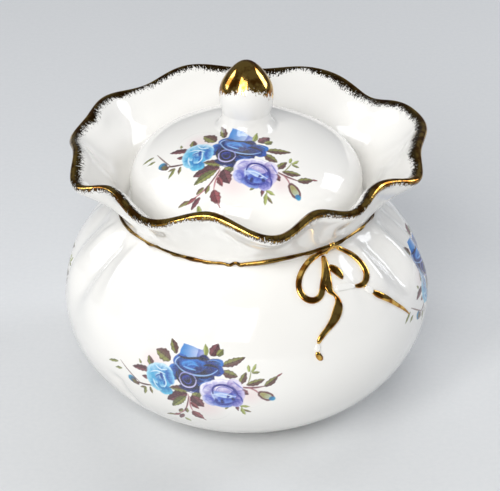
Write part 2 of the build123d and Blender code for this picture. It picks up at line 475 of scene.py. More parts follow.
def gathers_tree():
    """Presses the cloth-like gathers below the neck into the belly, and lifts the transfers' film."""
    sizes = {"Belly radius": BELLY_REACH * MM, "Belly half height": BELLY_HALF * MM,
             "Belly centre": BELLY_CENTRE * MM, "Neck height": NECK_HEIGHT * MM,
              "Gathers end": 33 * MM, "Gather depth": 0.5 * MM,
             "Gathers around": 5.0, "Film lift": 0.03 * MM}
    tree, given, close = shape_tree("Gathers", sizes)
    where, xyz = position(tree)
    flat = node(tree, "ShaderNodeCombineXYZ", {0: xyz[0], 1: xyz[1]}).outputs[0]
    heading = node(tree, "ShaderNodeVectorMath", {0: flat}, operation="NORMALIZE").outputs[0]
    face = node(tree, "ShaderNodeSeparateXYZ", {0: heading}).outputs
    above = math_of(tree, "SUBTRACT", xyz[2], given["Belly centre"])
    ratio = math_of(tree, "DIVIDE", given["Belly radius"], given["Belly half height"])
    squash = math_of(tree, "POWER", ratio, 2.0)
    slope = node(tree, "ShaderNodeCombineXYZ", {
        0: xyz[0], 1: xyz[1], 2: math_of(tree, "MULTIPLY", above, squash)}).outputs[0]
    outward = node(tree, "ShaderNodeVectorMath", {0: slope}, operation="NORMALIZE").outputs[0]
    lean = node(tree, "ShaderNodeCombineXYZ", {
        0: face[0], 1: face[1], 2: math_of(tree, "MULTIPLY", xyz[2], 4.0)}).outputs[0]
    noise = node(tree, "ShaderNodeTexNoise", {"Vector": lean, "Scale": given["Gathers around"], "Detail": 1.5,
                                              "Roughness": 0.4}).outputs[0]
    signed = math_of(tree, "MULTIPLY", math_of(tree, "SUBTRACT", noise, 0.5), 2.0)
    full = math_of(tree, "SUBTRACT", given["Neck height"], 5 * MM)
    below = ramp_of(tree, xyz[2], given["Gathers end"], full)
    neck = math_of(tree, "SUBTRACT", 1.0, ramp_of(
        tree, xyz[2], math_of(tree, "SUBTRACT", given["Neck height"], 2.5 * MM), given["Neck height"]))
    # The front, under the light, is smoother than the sides.
    front = ramp_of(tree, face[1], -0.97, -0.72)
    calm = math_of(tree, "MULTIPLY_ADD", front, 0.85, 0.15)
    share = math_of(tree, "MULTIPLY", math_of(tree, "MULTIPLY", below, neck), calm)
    pressed = math_of(tree, "MULTIPLY", math_of(tree, "MULTIPLY", signed, share), given["Gather depth"])
    pressed = math_of(tree, "MULTIPLY", pressed, stored(tree, "outside"))
    film = math_of(tree, "MULTIPLY", stored(tree, "film"), given["Film lift"])
    total = math_of(tree, "ADD", pressed, film)
    offset = node(tree, "ShaderNodeVectorMath", {0: outward, "Scale": total}, operation="SCALE").outputs[0]
    moved = node(tree, "GeometryNodeSetPosition", {"Geometry": given["Shape"], "Offset": offset})
    return close(moved.outputs[0])


def relief_cord_tree():
    """Turns a route into a raised cord with rounded ends and an uneven, hand-laid surface."""
    sizes = {"Step": 0.25 * MM, "End rounding": 0.9 * MM, "Unevenness": 0.12 * MM}
    tree, given, close = shape_tree("Relief cord", sizes)
    route = node(tree, "GeometryNodeMeshToCurve", {0: given["Shape"]}).outputs[0]
    line = node(tree, "GeometryNodeResampleCurve", {"Curve": route, "Length": given["Step"]}, mode="LENGTH")
    length = node(tree, "GeometryNodeSplineLength").outputs["Length"]
    along = node(tree, "GeometryNodeSplineParameter").outputs["Length"]
    to_end = math_of(tree, "MINIMUM", along, math_of(tree, "SUBTRACT", length, along))
    part = math_of(tree, "DIVIDE", to_end, given["End rounding"], clamp=True)
    bulge = math_of(tree, "SQRT", math_of(tree, "MULTIPLY", part, math_of(tree, "SUBTRACT", 2.0, part)))
    closed = math_of(tree, "MAXIMUM", bulge, stored(tree, "endless"))
    width = math_of(tree, "MAXIMUM", math_of(tree, "MULTIPLY", stored(tree, "half_width"), closed), 0.03 * MM)
    sized = node(tree, "GeometryNodeSetCurveRadius", {"Curve": line.outputs[0], "Radius": width})
    ring = node(tree, "GeometryNodeCurvePrimitiveCircle", {"Resolution": 16, "Radius": 1.0})
    tube = node(tree, "GeometryNodeCurveToMesh", {
        "Curve": sized.outputs[0], "Profile Curve": ring.outputs[0], "Scale": width, "Fill Caps": True})
    where, xyz = position(tree)
    noise = node(tree, "ShaderNodeTexNoise", {"Vector": where, "Scale": 420.0, "Detail": 1.0}).outputs[0]
    normal = node(tree, "GeometryNodeInputNormal").outputs[0]
    bump = math_of(tree, "MULTIPLY", math_of(tree, "SUBTRACT", noise, 0.5), given["Unevenness"])
    offset = node(tree, "ShaderNodeVectorMath", {0: normal, "Scale": bump}, operation="SCALE").outputs[0]
    moved = node(tree, "GeometryNodeSetPosition", {"Geometry": tube.outputs[0], "Offset": offset})
    smooth = node(tree, "GeometryNodeSetShadeSmooth", {"Geometry": moved.outputs[0]})
    return close(smooth.outputs[0])


# ---------------------------------------------------------------- materials

def start_material(name):
    """A new material: itself, its tree, its Principled shader and its pattern's coordinates in metres."""
    material = bpy.data.materials.new(name)
    material.use_nodes = True
    tree = material.node_tree
    return material, tree, tree.nodes["Principled BSDF"], node(tree, "ShaderNodeTexCoord").outputs["Object"]


def noise_of(tree, where, size, detail=2.0, roughness=0.5):
    """A noise whose lumps are about size metres across."""
    inputs = {"Vector": where, "Scale": 1 / size, "Detail": detail, "Roughness": roughness}
    return node(tree, "ShaderNodeTexNoise", inputs).outputs[0]


def mix_of(tree, share, first, second, kind="RGBA"):
    """Mixes two colours, or with kind FLOAT two numbers."""
    made = node(tree, "ShaderNodeMix", {0: share}, data_type=kind)
    pair = (6, 7) if kind == "RGBA" else (2, 3)
    for socket, value in zip(pair, (first, second)):
        if isinstance(value, bpy.types.NodeSocket):
            tree.links.new(value, made.inputs[socket])
        else:
            made.inputs[socket].default_value = value
    return made.outputs[2 if kind == "RGBA" else 0]


def china_colour(tree, where, colours):
    """Bone china under a clear glaze: a warm white that drifts very slightly from place to place."""
    drift = noise_of(tree, where, 30 * MM)
    return mix_of(tree, drift, linear_of(colours.china), linear_of(colours.china_shade))


def linear_of(colour):
    """A property colour as linear RGBA."""
    return (*colour, 1.0)


def glaze_bump(tree, where):
    """Glaze pooled and fired: a wave about 9 mm long, a few microns high, that bends reflections."""
    wave = noise_of(tree, where, 9 * MM, detail=1.0)
    return node(tree, "ShaderNodeBump", {"Height": wave, "Strength": 0.25, "Distance": 0.06 * MM}).outputs[0]


def glaze(tree, shader, where, colour, bare=None):
    """Coats a colour in clear glaze, except where bare is 1."""
    tree.links.new(colour, shader.inputs["Base Color"])
    tree.links.new(glaze_bump(tree, where), shader.inputs["Normal"])
    shader.inputs["IOR"].default_value = GLAZE_IOR
    # A slight cloudiness of the glaze keeps the window's reflection soft at its edges.
    rough = mix_of(tree, noise_of(tree, where, 4 * MM), 0.05, 0.09, "FLOAT")
    if bare is not None:
        rough = mix_of(tree, bare, rough, 0.75, "FLOAT")
    tree.links.new(rough, shader.inputs["Roughness"])


def china_material(colours):
    """Glazed bone china: cast, bisque fired and dipped; glossy white with soft-edged reflections."""
    material, tree, shader, where = start_material("glazed_bone_china")
    glaze(tree, shader, where, china_colour(tree, where, colours))
    return material


def gild(tree, shader, where, colours, mask, white, thin=0.0):
    """Lays fired gold over the glaze where the mask is 1: colour, metal and a burnished roughness."""
    # Liquid bright gold, brushed on by hand and fired: thick and deep where the brush dwelt.
    thick = noise_of(tree, where, 3 * MM, detail=3.0)
    deep = ramp_of(tree, thick, 0.42, 0.6)
    gold = mix_of(tree, deep, linear_of(colours.gold), linear_of(colours.gold_deep))
    # Toward thin the gold turns to that brown: thin gold at a brush's edge, and painted shade where a caller
    # browns a whole side or cord.
    gold = mix_of(tree, thin, gold, linear_of(colours.thin_gold_and_painted_shade))
    tree.links.new(mix_of(tree, mask, white, gold), shader.inputs["Base Color"])
    tree.links.new(mask, shader.inputs["Metallic"])
    burnish = mix_of(tree, thick, 0.07, 0.15, "FLOAT")
    tree.links.new(mix_of(tree, mask, 0.06, burnish, "FLOAT"), shader.inputs["Roughness"])
    # The brush leaves ridges about 0.6 mm apart, a few microns high.
    ridges = noise_of(tree, where, 0.6 * MM, detail=1.0)
    height = math_of(tree, "MULTIPLY_ADD", ridges, 0.25, thick)
    inputs = {"Height": math_of(tree, "MULTIPLY", height, mask), "Strength": 0.5, "Distance": 0.05 * MM}
    inputs["Normal"] = glaze_bump(tree, where)
    tree.links.new(node(tree, "ShaderNodeBump", inputs).outputs[0], shader.inputs["Normal"])


def gold_material(colours, name="burnished_gold", thin=0.0):
    """Fired gold brushed over the raised cord: metal throughout, browner where it is thin; a thin above 0
    browns it all over as painted shade.
    """
    material, tree, shader, where = start_material(name)
    mask = ramp_of(tree, noise_of(tree, where, 1.1 * MM, detail=3.0), 0.2, 0.3)
    gild(tree, shader, where, colours, mask, linear_of(colours.thin_gold_and_painted_shade), thin)
    return material


def gilt_lip_material(colours, sizes):
    """Glazed china with a brushed gold lip: a solid band, then hairs of gold where the brush lifts."""
    material, tree, shader, where = start_material("gilt_lip_china")
    way = node(tree, "ShaderNodeAttribute", attribute_name="rim_way").outputs["Vector"]
    xyz = node(tree, "ShaderNodeSeparateXYZ", {0: way}).outputs
    # Hairs run across the lip: about 0.4 mm apart round the rim and 2 mm long.
    hairs = node(tree, "ShaderNodeCombineXYZ", {
        0: xyz[0], 1: xyz[1], 2: math_of(tree, "MULTIPLY", xyz[2], 0.3)}).outputs[0]
    streak = noise_of(tree, hairs, 0.4 * MM, detail=3.0, roughness=0.75)
    dabs = noise_of(tree, way, 0.42 * MM, detail=4.0, roughness=0.8)
    patches = noise_of(tree, way, 9 * MM, detail=1.0)
    dabs = math_of(tree, "MULTIPLY", dabs, 0.5)
    ragged = math_of(tree, "MULTIPLY_ADD", streak, 0.5, dabs)
    ragged = math_of(tree, "MULTIPLY_ADD", patches, 0.35, math_of(tree, "SUBTRACT", ragged, 0.175))
    outer = ramp_of(tree, xyz[2], -0.2 * MM, 0.2 * MM)
    spread = mix_of(tree, outer, sizes.lip_fringe_inside, sizes.lip_fringe_outside, "FLOAT")
    solid = mix_of(tree, outer, sizes.lip_solid_inside, sizes.lip_solid_outside, "FLOAT")
    reach = math_of(tree, "ABSOLUTE", xyz[2])
    faded = math_of(tree, "DIVIDE", math_of(tree, "SUBTRACT", reach, solid), spread)
    # At 0 every hair is gold, at 1 hardly any.
    limit = math_of(tree, "MULTIPLY_ADD", faded, 0.24, 0.39)
    edge = math_of(tree, "SUBTRACT", ragged, limit)
    mask = ramp_of(tree, edge, -0.012, 0.012)
    # The gold thins to brown towards its ragged edge. All over the lip's inner side the same brown is painted
    # shade, the dark that the gold mirrors there.
    thin = math_of(tree, "SUBTRACT", 1.0, ramp_of(tree, edge, 0.02, 0.2))
    # Painted shade: the lip's inner side made 70 percent brown.
    inner = math_of(tree, "SUBTRACT", 1.0, ramp_of(tree, xyz[2], -0.9 * MM, 0.3 * MM))
    thin = math_of(tree, "MAXIMUM", thin, math_of(tree, "MULTIPLY", inner, 0.7))
    gild(tree, shader, where, colours, mask, china_colour(tree, where, colours), thin)
    shader.inputs["IOR"].default_value = GLAZE_IOR
    return material


def gilt_knob_material(colours, sizes):
    """Glazed china with a gold cap, brushed on down to an uneven edge."""
    material, tree, shader, where = start_material("gilt_knob_china")
    xyz = node(tree, "ShaderNodeSeparateXYZ", {0: where}).outputs
    strokes = node(tree, "ShaderNodeCombineXYZ", {
        0: xyz[0], 1: xyz[1], 2: math_of(tree, "MULTIPLY", xyz[2], 0.35)}).outputs[0]
    sag = math_of(tree, "SUBTRACT", noise_of(tree, where, 7 * MM, detail=0.0), 0.5)
    hair = math_of(tree, "SUBTRACT", noise_of(tree, strokes, 0.55 * MM, detail=3.0, roughness=0.65), 0.5)
    down = math_of(tree, "MULTIPLY_ADD", sag, 7 * MM, xyz[2])
    down = math_of(tree, "MULTIPLY_ADD", hair, 5 * MM, down)
    # Gold reaches lower at the sides than in front.
    front = ramp_of(tree, xyz[1], -7 * MM, 0.0)
    down = math_of(tree, "MULTIPLY_ADD", front, 1.5 * MM, down)
    mask = ramp_of(tree, down, sizes.knob_gilt_height, sizes.knob_gilt_height + 0.12 * MM)
    gild(tree, shader, where, colours, mask, china_colour(tree, where, colours))
    shader.inputs["IOR"].default_value = GLAZE_IOR
    return material


def foot_material(colours):
    """Glazed china whose foot ring was wiped clean of glaze: a matt, slightly grey biscuit ring."""
    material, tree, shader, where = start_material("china_with_bare_foot")
    xyz = node(tree, "ShaderNodeSeparateXYZ", {0: where}).outputs
    grain = noise_of(tree, where, 0.4 * MM, detail=2.0)
    high = math_of(tree, "MULTIPLY_ADD", grain, 0.3 * MM, xyz[2])
    bare = math_of(tree, "SUBTRACT", 1.0, ramp_of(tree, high, 0.3 * MM, 0.5 * MM))
    colour = mix_of(tree, bare, china_colour(tree, where, colours), linear("#DAD3C6"))
    glaze(tree, shader, where, colour, bare)
    return material


def transfer_material(colours):
    """Ceramic transfer fired into the glaze: enamel colours under the same gloss as the china."""
    material, tree, shader, where = start_material("fired_transfer")
    enamel = node(tree, "ShaderNodeAttribute", attribute_name="enamel").outputs
    # The print's dots, about 0.25 mm, break the enamel up a little.
    dots = noise_of(tree, where, 0.25 * MM, detail=1.0)
    thin = math_of(tree, "MULTIPLY", enamel["Alpha"], mix_of(tree, dots, 0.86, 1.0, "FLOAT"))
    colour = mix_of(tree, thin, china_colour(tree, where, colours), enamel["Color"])
    glaze(tree, shader, where, colour)
    return material


# ---------------------------------------------------------------- the roses

# Leaves: foot, tip, half-width in millimetres, and kind. The spray's middle is 0, 0.
LEAVES = [
    (-4.4, 5.5, -8.9, 7.6, 1.8, "mixed"), (-2.9, 7.6, -4.7, 11.6, 1.1, "mixed"),
    (-10.0, 2.2, -10.9, 5.4, 1.0, "mixed"), (-10.3, 1.1, -16.2, 0.2, 1.0, "mauve"),
    (-13.2, 2.0, -14.0, 3.4, 0.4, "olive"), (-10.5, -1.8, -13.2, -1.8, 0.7, "mauve"),
    (-21.0, -0.3, -25.0, -1.8, 0.5, "olive"), (-19.8, -2.1, -22.6, -3.1, 0.45, "olive"),
    (-12.2, -5.4, -13.4, -9.0, 0.5, "olive"), (-12.2, -5.4, -14.4, -6.5, 0.4, "mixed"),
    (-10.8, -4.8, -10.6, -7.6, 0.5, "mixed"), (0.1, -3.7, -6.1, -8.1, 1.8, "mauve"),
    (-0.4, -5.0, -5.1, -10.6, 1.2, "olive"), (1.2, -2.6, -5.0, -3.0, 1.2, "mixed"),
    (1.6, -5.5, 3.7, -2.2, 1.2, "olive"), (1.3, -4.3, 4.4, -8.4, 1.7, "mauve"),
    (0.8, -7.0, 2.9, -9.6, 0.8, "red"), (0.8, -11.0, 3.4, -14.8, 1.5, "red"),
    (3.0, -14.2, 4.1, -15.6, 0.3, "red"), (-0.8, -9.9, -1.0, -12.7, 0.65, "mixed"),
    (-2.0, -10.8, -3.6, -13.2, 0.6, "mixed"), (-3.3, -13.8, -6.1, -16.2, 0.55, "red"),
    (-2.2, -13.6, -4.3, -17.4, 0.7, "mauve"), (-5.1, -14.9, -8.5, -16.9, 0.55, "mixed"),
    (-2.4, -16.0, -1.0, -18.2, 0.75, "lime"), (9.4, 6.0, 15.8, 8.6, 1.15, "mixed"),
    (9.6, 4.4, 13.9, 3.1, 1.25, "mixed"), (14.3, 0.6, 16.0, 4.5, 0.95, "mixed"),
    (16.0, 0.5, 20.9, 2.2, 0.95, "mixed"), (20.6, -0.2, 24.3, 2.9, 0.95, "mixed"),
    (24.0, 2.7, 25.4, 3.6, 0.3, "red"), (14.7, -0.9, 16.6, -2.7, 0.9, "mauve"),
    (16.7, 4.4, 16.5, 6.6, 0.45, "lime"), (17.4, 4.4, 18.6, 6.8, 0.45, "lime"),
    (17.4, 4.2, 19.6, 4.4, 0.45, "olive"), (6.6, 8.4, 8.5, 12.0, 1.5, "mauve"),
    (8.2, 8.6, 9.9, 10.6, 0.9, "olive"), (5.2, 8.1, 4.9, 11.6, 0.75, "lime"),
    (10.1, -8.5, 11.2, -7.0, 0.4, "olive"), (13.3, -6.4, 13.6, -9.2, 0.5, "mauve"),
    (14.2, -6.9, 16.9, -7.2, 0.5, "lime"), (14.7, -8.3, 17.1, -9.7, 0.45, "mixed"),
    (14.5, -7.6, 15.4, -11.1, 0.55, "lime"),
]

# Faint pink washes behind the leaves: middle, reach, colour.
BLUSHES = [(-9, 4, 6, "#E9C4CC"), (5, -8, 7, "#EBC8CE"), (17, -3, 5, "#EBC8CE")]

# Stems: half-width, colour, then the points they run through.
STEMS = [
    (0.3, "#6B3A48", [(-10.0, -4.0), (-12.6, -4.6), (-16.0, -4.8)]),
    (0.2, "#8A6A62", [(-14.0, -4.6), (-17.3, -2.2), (-20.3, 0.4)]),
    (0.2, "#C98C96", [(0.4, -4.2), (-0.2, -8.0), (-2.6, -12.8), (-5.2, -15.2)]),
    (0.22, "#C98C96", [(0.9, -5.0), (0.5, -8.4), (0.9, -11.2)]),
    (0.16, "#7A4450", [(0.6, -4.8), (-0.5, -8.8), (-1.0, -10.4)]),
    (0.28, "#8E5560", [(13.6, 0.0), (17.4, -0.4), (21.0, 0.0)]),
    (0.22, "#B98088", [(16.6, -0.4), (18.4, -1.4), (19.4, -2.6)]),
    (0.16, "#A0A46A", [(16.4, 0.8), (17.0, 3.0), (17.2, 4.6)]),
    (0.16, "#A0A46A", [(12.9, -5.8), (14.3, -7.0), (14.9, -8.6)]),
]

# Petals, back to front: middle, reach outwards, half-width, heading in degrees, root and edge colour.
PETALS = [
    # The deep blue rose and the pale petals behind it.
    (4.6, 6.8, 1.9, 1.6, 30, "#0C1240", "#1C3C88"), (7.6, 6.5, 2.5, 1.3, 8, "#10184E", "#2F8BD6"),
    (7.9, 4.6, 2.3, 1.7, -12, "#0F1546", "#2468BE"),
    (-3.2, 2.4, 1.7, 2.5, 180, "#123C8A", "#3C92DA"), (2.6, 2.2, 5.2, 4.9, -60, "#0D133E", "#17357E"),
    (-1.4, 5.7, 2.2, 2.2, 130, "#0F1D58", "#2A79C8"), (5.6, 4.6, 2.9, 2.4, 20, "#0E1548", "#1B4FA4"),
    (1.8, 5.0, 2.1, 3.7, 96, "#14347E", "#1F80D0"), (0.9, 5.2, 1.2, 2.1, 100, "#1C66B8", "#58A9E6"),
    (4.6, 1.6, 1.5, 3.0, -75, "#0F1648", "#2657A8"), (1.0, -1.5, 1.4, 2.9, -90, "#0B1036", "#1B3C8A"),
    (0.5, 0.5, 2.5, 2.6, 0, "#14164C", "#141A56"), (0.2, 0.9, 1.2, 1.3, 120, "#0E0E38", "#4457B4"),
    # The cyan rose.
    (-7.6, -0.8, 3.5, 3.5, 60, "#56B4DE", "#86CCEA"), (-8.9, 1.8, 1.7, 2.7, 125, "#5BB2DC", "#CBE8F6"),
    (-6.0, 2.4, 1.6, 2.1, 70, "#3F9FD4", "#D8EEF8"), (-10.2, -1.0, 1.4, 2.3, 178, "#4FB6DE", "#B2E0F2"),
    (-4.6, 0.5, 1.3, 2.4, 12, "#2577C2", "#9AD2F0"), (-6.1, -4.4, 1.6, 2.1, -70, "#2490C8", "#7FD2EC"),
    (-8.9, -3.7, 1.4, 1.9, -120, "#2E9ED2", "#B2E4F4"), (-7.4, -0.6, 1.7, 1.5, 80, "#2F8CCB", "#D6EDF8"),
    (-6.9, -2.6, 1.0, 0.9, -70, "#3FA4D8", "#BFE6F6"), (-8.6, -1.9, 0.9, 0.8, -100, "#49ACDC", "#C9ECF8"),
    (-7.0, 0.3, 0.45, 1.1, 10, "#0E4C9C", "#1767BC"), (-6.1, -1.7, 0.3, 0.8, -30, "#1A6CBE", "#2F8CD0"),
    # The lilac rose.
    (9.7, -2.6, 4.7, 4.3, 90, "#8F8CD0", "#C9C3E8"), (5.8, -1.6, 2.1, 2.8, 165, "#A39FD6", "#F4F2FC"),
    (9.0, 0.3, 1.7, 3.3, 95, "#A9A3DA", "#F6F3FC"), (12.9, 0.1, 2.0, 2.3, 35, "#A99BD0", "#F1ECF8"),
    (14.0, -3.4, 1.5, 2.5, -12, "#7F78C6", "#DDD6F0"), (6.3, -5.2, 1.8, 2.2, -140, "#6470CA", "#CFD4F4"),
    (9.6, -6.2, 1.5, 2.7, -95, "#33479E", "#93A8E6"), (13.3, -5.7, 1.5, 1.7, -50, "#4A55B6", "#B9B6E8"),
    (10.4, -2.5, 3.1, 3.1, 90, "#5F62B8", "#5A58B0"), (10.0, -1.3, 1.7, 2.5, 100, "#B7AEDC", "#F6F0F9"),
    (8.3, -3.5, 1.4, 1.9, -155, "#6C84D4", "#D2DEF6"), (11.9, -3.6, 1.2, 1.6, -35, "#3550B8", "#8FA9E6"),
    (10.2, -4.6, 1.3, 2.0, -95, "#3A57BE", "#86A4E6"), (9.9, -3.0, 0.9, 2.4, -100, "#9DB8EC", "#D6E6FA"),
    (12.5, -4.3, 0.6, 0.5, -40, "#161F72", "#26409C"), (9.6, -5.4, 0.5, 0.9, 10, "#161F72", "#2A4CAA"),
    (8.0, -4.9, 0.35, 0.6, 30, "#2A3C9A", "#3A58B8"), (11.2, -3.3, 0.35, 0.7, -20, "#2A3C9A", "#3A58B8"),
    # Two buds.
    (-16.4, -4.6, 1.7, 1.2, 150, "#6B3A4C", "#3FA9CC"), (-15.6, -5.1, 1.3, 0.7, -20, "#8A8650", "#6B3A48"),
    (21.0, -3.4, 2.5, 1.5, -35, "#7A4A50", "#8A5A5C"), (21.0, -3.4, 1.8, 0.9, -35, "#B5AE74", "#C9D6C8"),
    (22.6, -4.6, 0.9, 0.8, -35, "#2F86B8", "#44B6D8"),
]

# Lines drawn over the petals: half-width, colour, points.
RIM_LINES = [
    (0.2, "#A8C8F0", [(-2.9, 5.0), (-1.6, 3.7), (1.0, 2.7), (4.4, 2.6), (7.0, 3.4), (8.5, 4.6)]),
    (0.13, "#C9DDF6", [(-1.9, 7.0), (-2.9, 6.0), (-3.1, 4.6)]),
    (0.24, "#8FC0EE", [(-0.6, 4.6), (1.0, 4.2), (2.6, 4.0)]),
    (0.16, "#2F7CC8", [(3.6, 1.6), (5.2, 1.4), (6.6, 2.2)]),
    (0.16, "#AFAEE2", [(-1.8, 0.9), (-1.3, 2.3), (0.4, 2.9), (2.0, 2.4), (2.8, 1.0)]),
    (0.22, "#D2CFF2", [(2.8, 1.0), (2.4, -0.6), (0.9, -1.6), (-0.9, -1.2), (-1.8, 0.9)]),
    (0.13, "#5E6CC8", [(-0.6, 0.2), (0.4, -0.5), (1.4, 0.2), (1.2, 1.3)]),
    (0.3, "#10123C", [(-2.2, 7.3), (-0.4, 7.0), (1.6, 7.2), (4.8, 7.5), (6.4, 7.0)]),
    (0.34, "#0C0F38", [(4.9, 5.6), (6.2, 5.9), (8.4, 5.4)]),
    (0.3, "#0C0F38", [(-2.6, 2.6), (-2.4, 0.8), (-1.6, -0.8)]),
    (0.14, "#6FB4EC", [(0.4, 5.0), (1.8, 5.6), (3.4, 5.2)]),
    (0.12, "#7FA8E6", [(5.8, 7.0), (7.4, 7.4), (9.4, 6.8)]),
    (0.14, "#3F86D2", [(3.4, -0.6), (4.8, 0.6), (6.8, 1.4)]),
    (0.12, "#3C6CC4", [(2.8, -2.2), (1.4, -3.2), (-0.2, -3.0)]),
    (0.34, "#3E3E9E", [(7.2, -2.7), (7.3, -0.8), (9.0, 0.3), (11.3, 0.0), (13.2, -1.5), (13.9, -3.2)]),
    (0.16, "#8E8CD4", [(8.0, -1.8), (8.6, -0.7), (10.2, -0.3), (12.0, -1.2), (12.7, -2.6)]),
    (0.14, "#9C9ADA", [(4.6, -1.6), (5.6, -0.2), (6.9, 0.2)]),
    (0.14, "#8D8ED2", [(5.0, -4.2), (6.4, -3.6), (7.2, -4.4)]),
    (0.26, "#3A50B4", [(13.9, -2.8), (14.6, -3.9), (14.9, -5.2)]),
    (0.16, "#7C84D0", [(12.6, 1.6), (13.9, 0.4), (15.2, -0.8)]),
    (0.26, "#2E46A8", [(7.6, -5.2), (8.8, -6.4), (10.6, -6.5), (12.4, -5.6)]),
    (0.14, "#EAF2FD", [(7.4, -3.1), (9.4, -2.6), (11.6, -3.0), (13.2, -3.4)]),
    (0.16, "#2C8CCB", [(-6.9, -0.9), (-6.0, -2.6), (-5.5, -4.1)]),
    (0.14, "#2C8CCB", [(-8.2, -1.0), (-8.0, -2.8), (-7.2, -4.4)]),
    (0.14, "#5FB6E0", [(-10.4, 1.6), (-9.4, 0.2), (-9.6, -1.6)]),
    (0.14, "#F0FAFE", [(-8.8, 3.2), (-7.4, 2.2), (-5.4, 2.6)]),
    (0.16, "#EAF6FC", [(-10.2, 0.6), (-8.0, 1.4), (-6.0, 1.0)]),
    (0.16, "#E2F3FB", [(-6.2, -0.2), (-5.8, -2.2), (-6.4, -3.4)]),
    (0.16, "#E2F3FB", [(-9.6, -1.6), (-9.2, -3.0), (-8.2, -4.4)]),
    (0.18, "#1F6FB8", [(-8.8, -0.6), (-7.6, 0.4), (-6.4, -0.2)]),
]

# Two angular petals behind the blue rose: corners, anticlockwise.
SKY_PETAL = [(-2.4, 7.2), (1.4, 6.8), (4.9, 7.6), (4.3, 10.1), (1.7, 10.5), (-0.9, 11.5)]
SKY_FOLD = [(2.6, 7.0), (5.0, 7.6), (4.4, 9.9), (3.2, 10.0)]
ENAMEL_DEPTH = 1.35

# A transfer's film: spacing of its points and the limits of its flat sheet, in millimetres.
SHEET_STEP = 0.18
SHEET_U = (-26.4, 26.6)
SHEET_V = (-19.6, 13.4)

# The sprays round the belly: name, angle of the middle, height of the middle.
SIDE_SPRAYS = [("front", -18, 30), ("right", 86, 38), ("left", -112, 34), ("back", 170, 32)]

LEAF_COLOURS = {
    "olive": ("#A9AE6C", "#7E8450", "#5C5A3C"), "lime": ("#C3CC86", "#A3AC62", "#7C8248"),
    "mauve": ("#96606A", "#6E3C4B", "#4A2634"), "mixed": ("#9EA262", "#7A5552", "#5A3040"),
    "red": ("#B26A72", "#8A4450", "#5E2A36"),
}


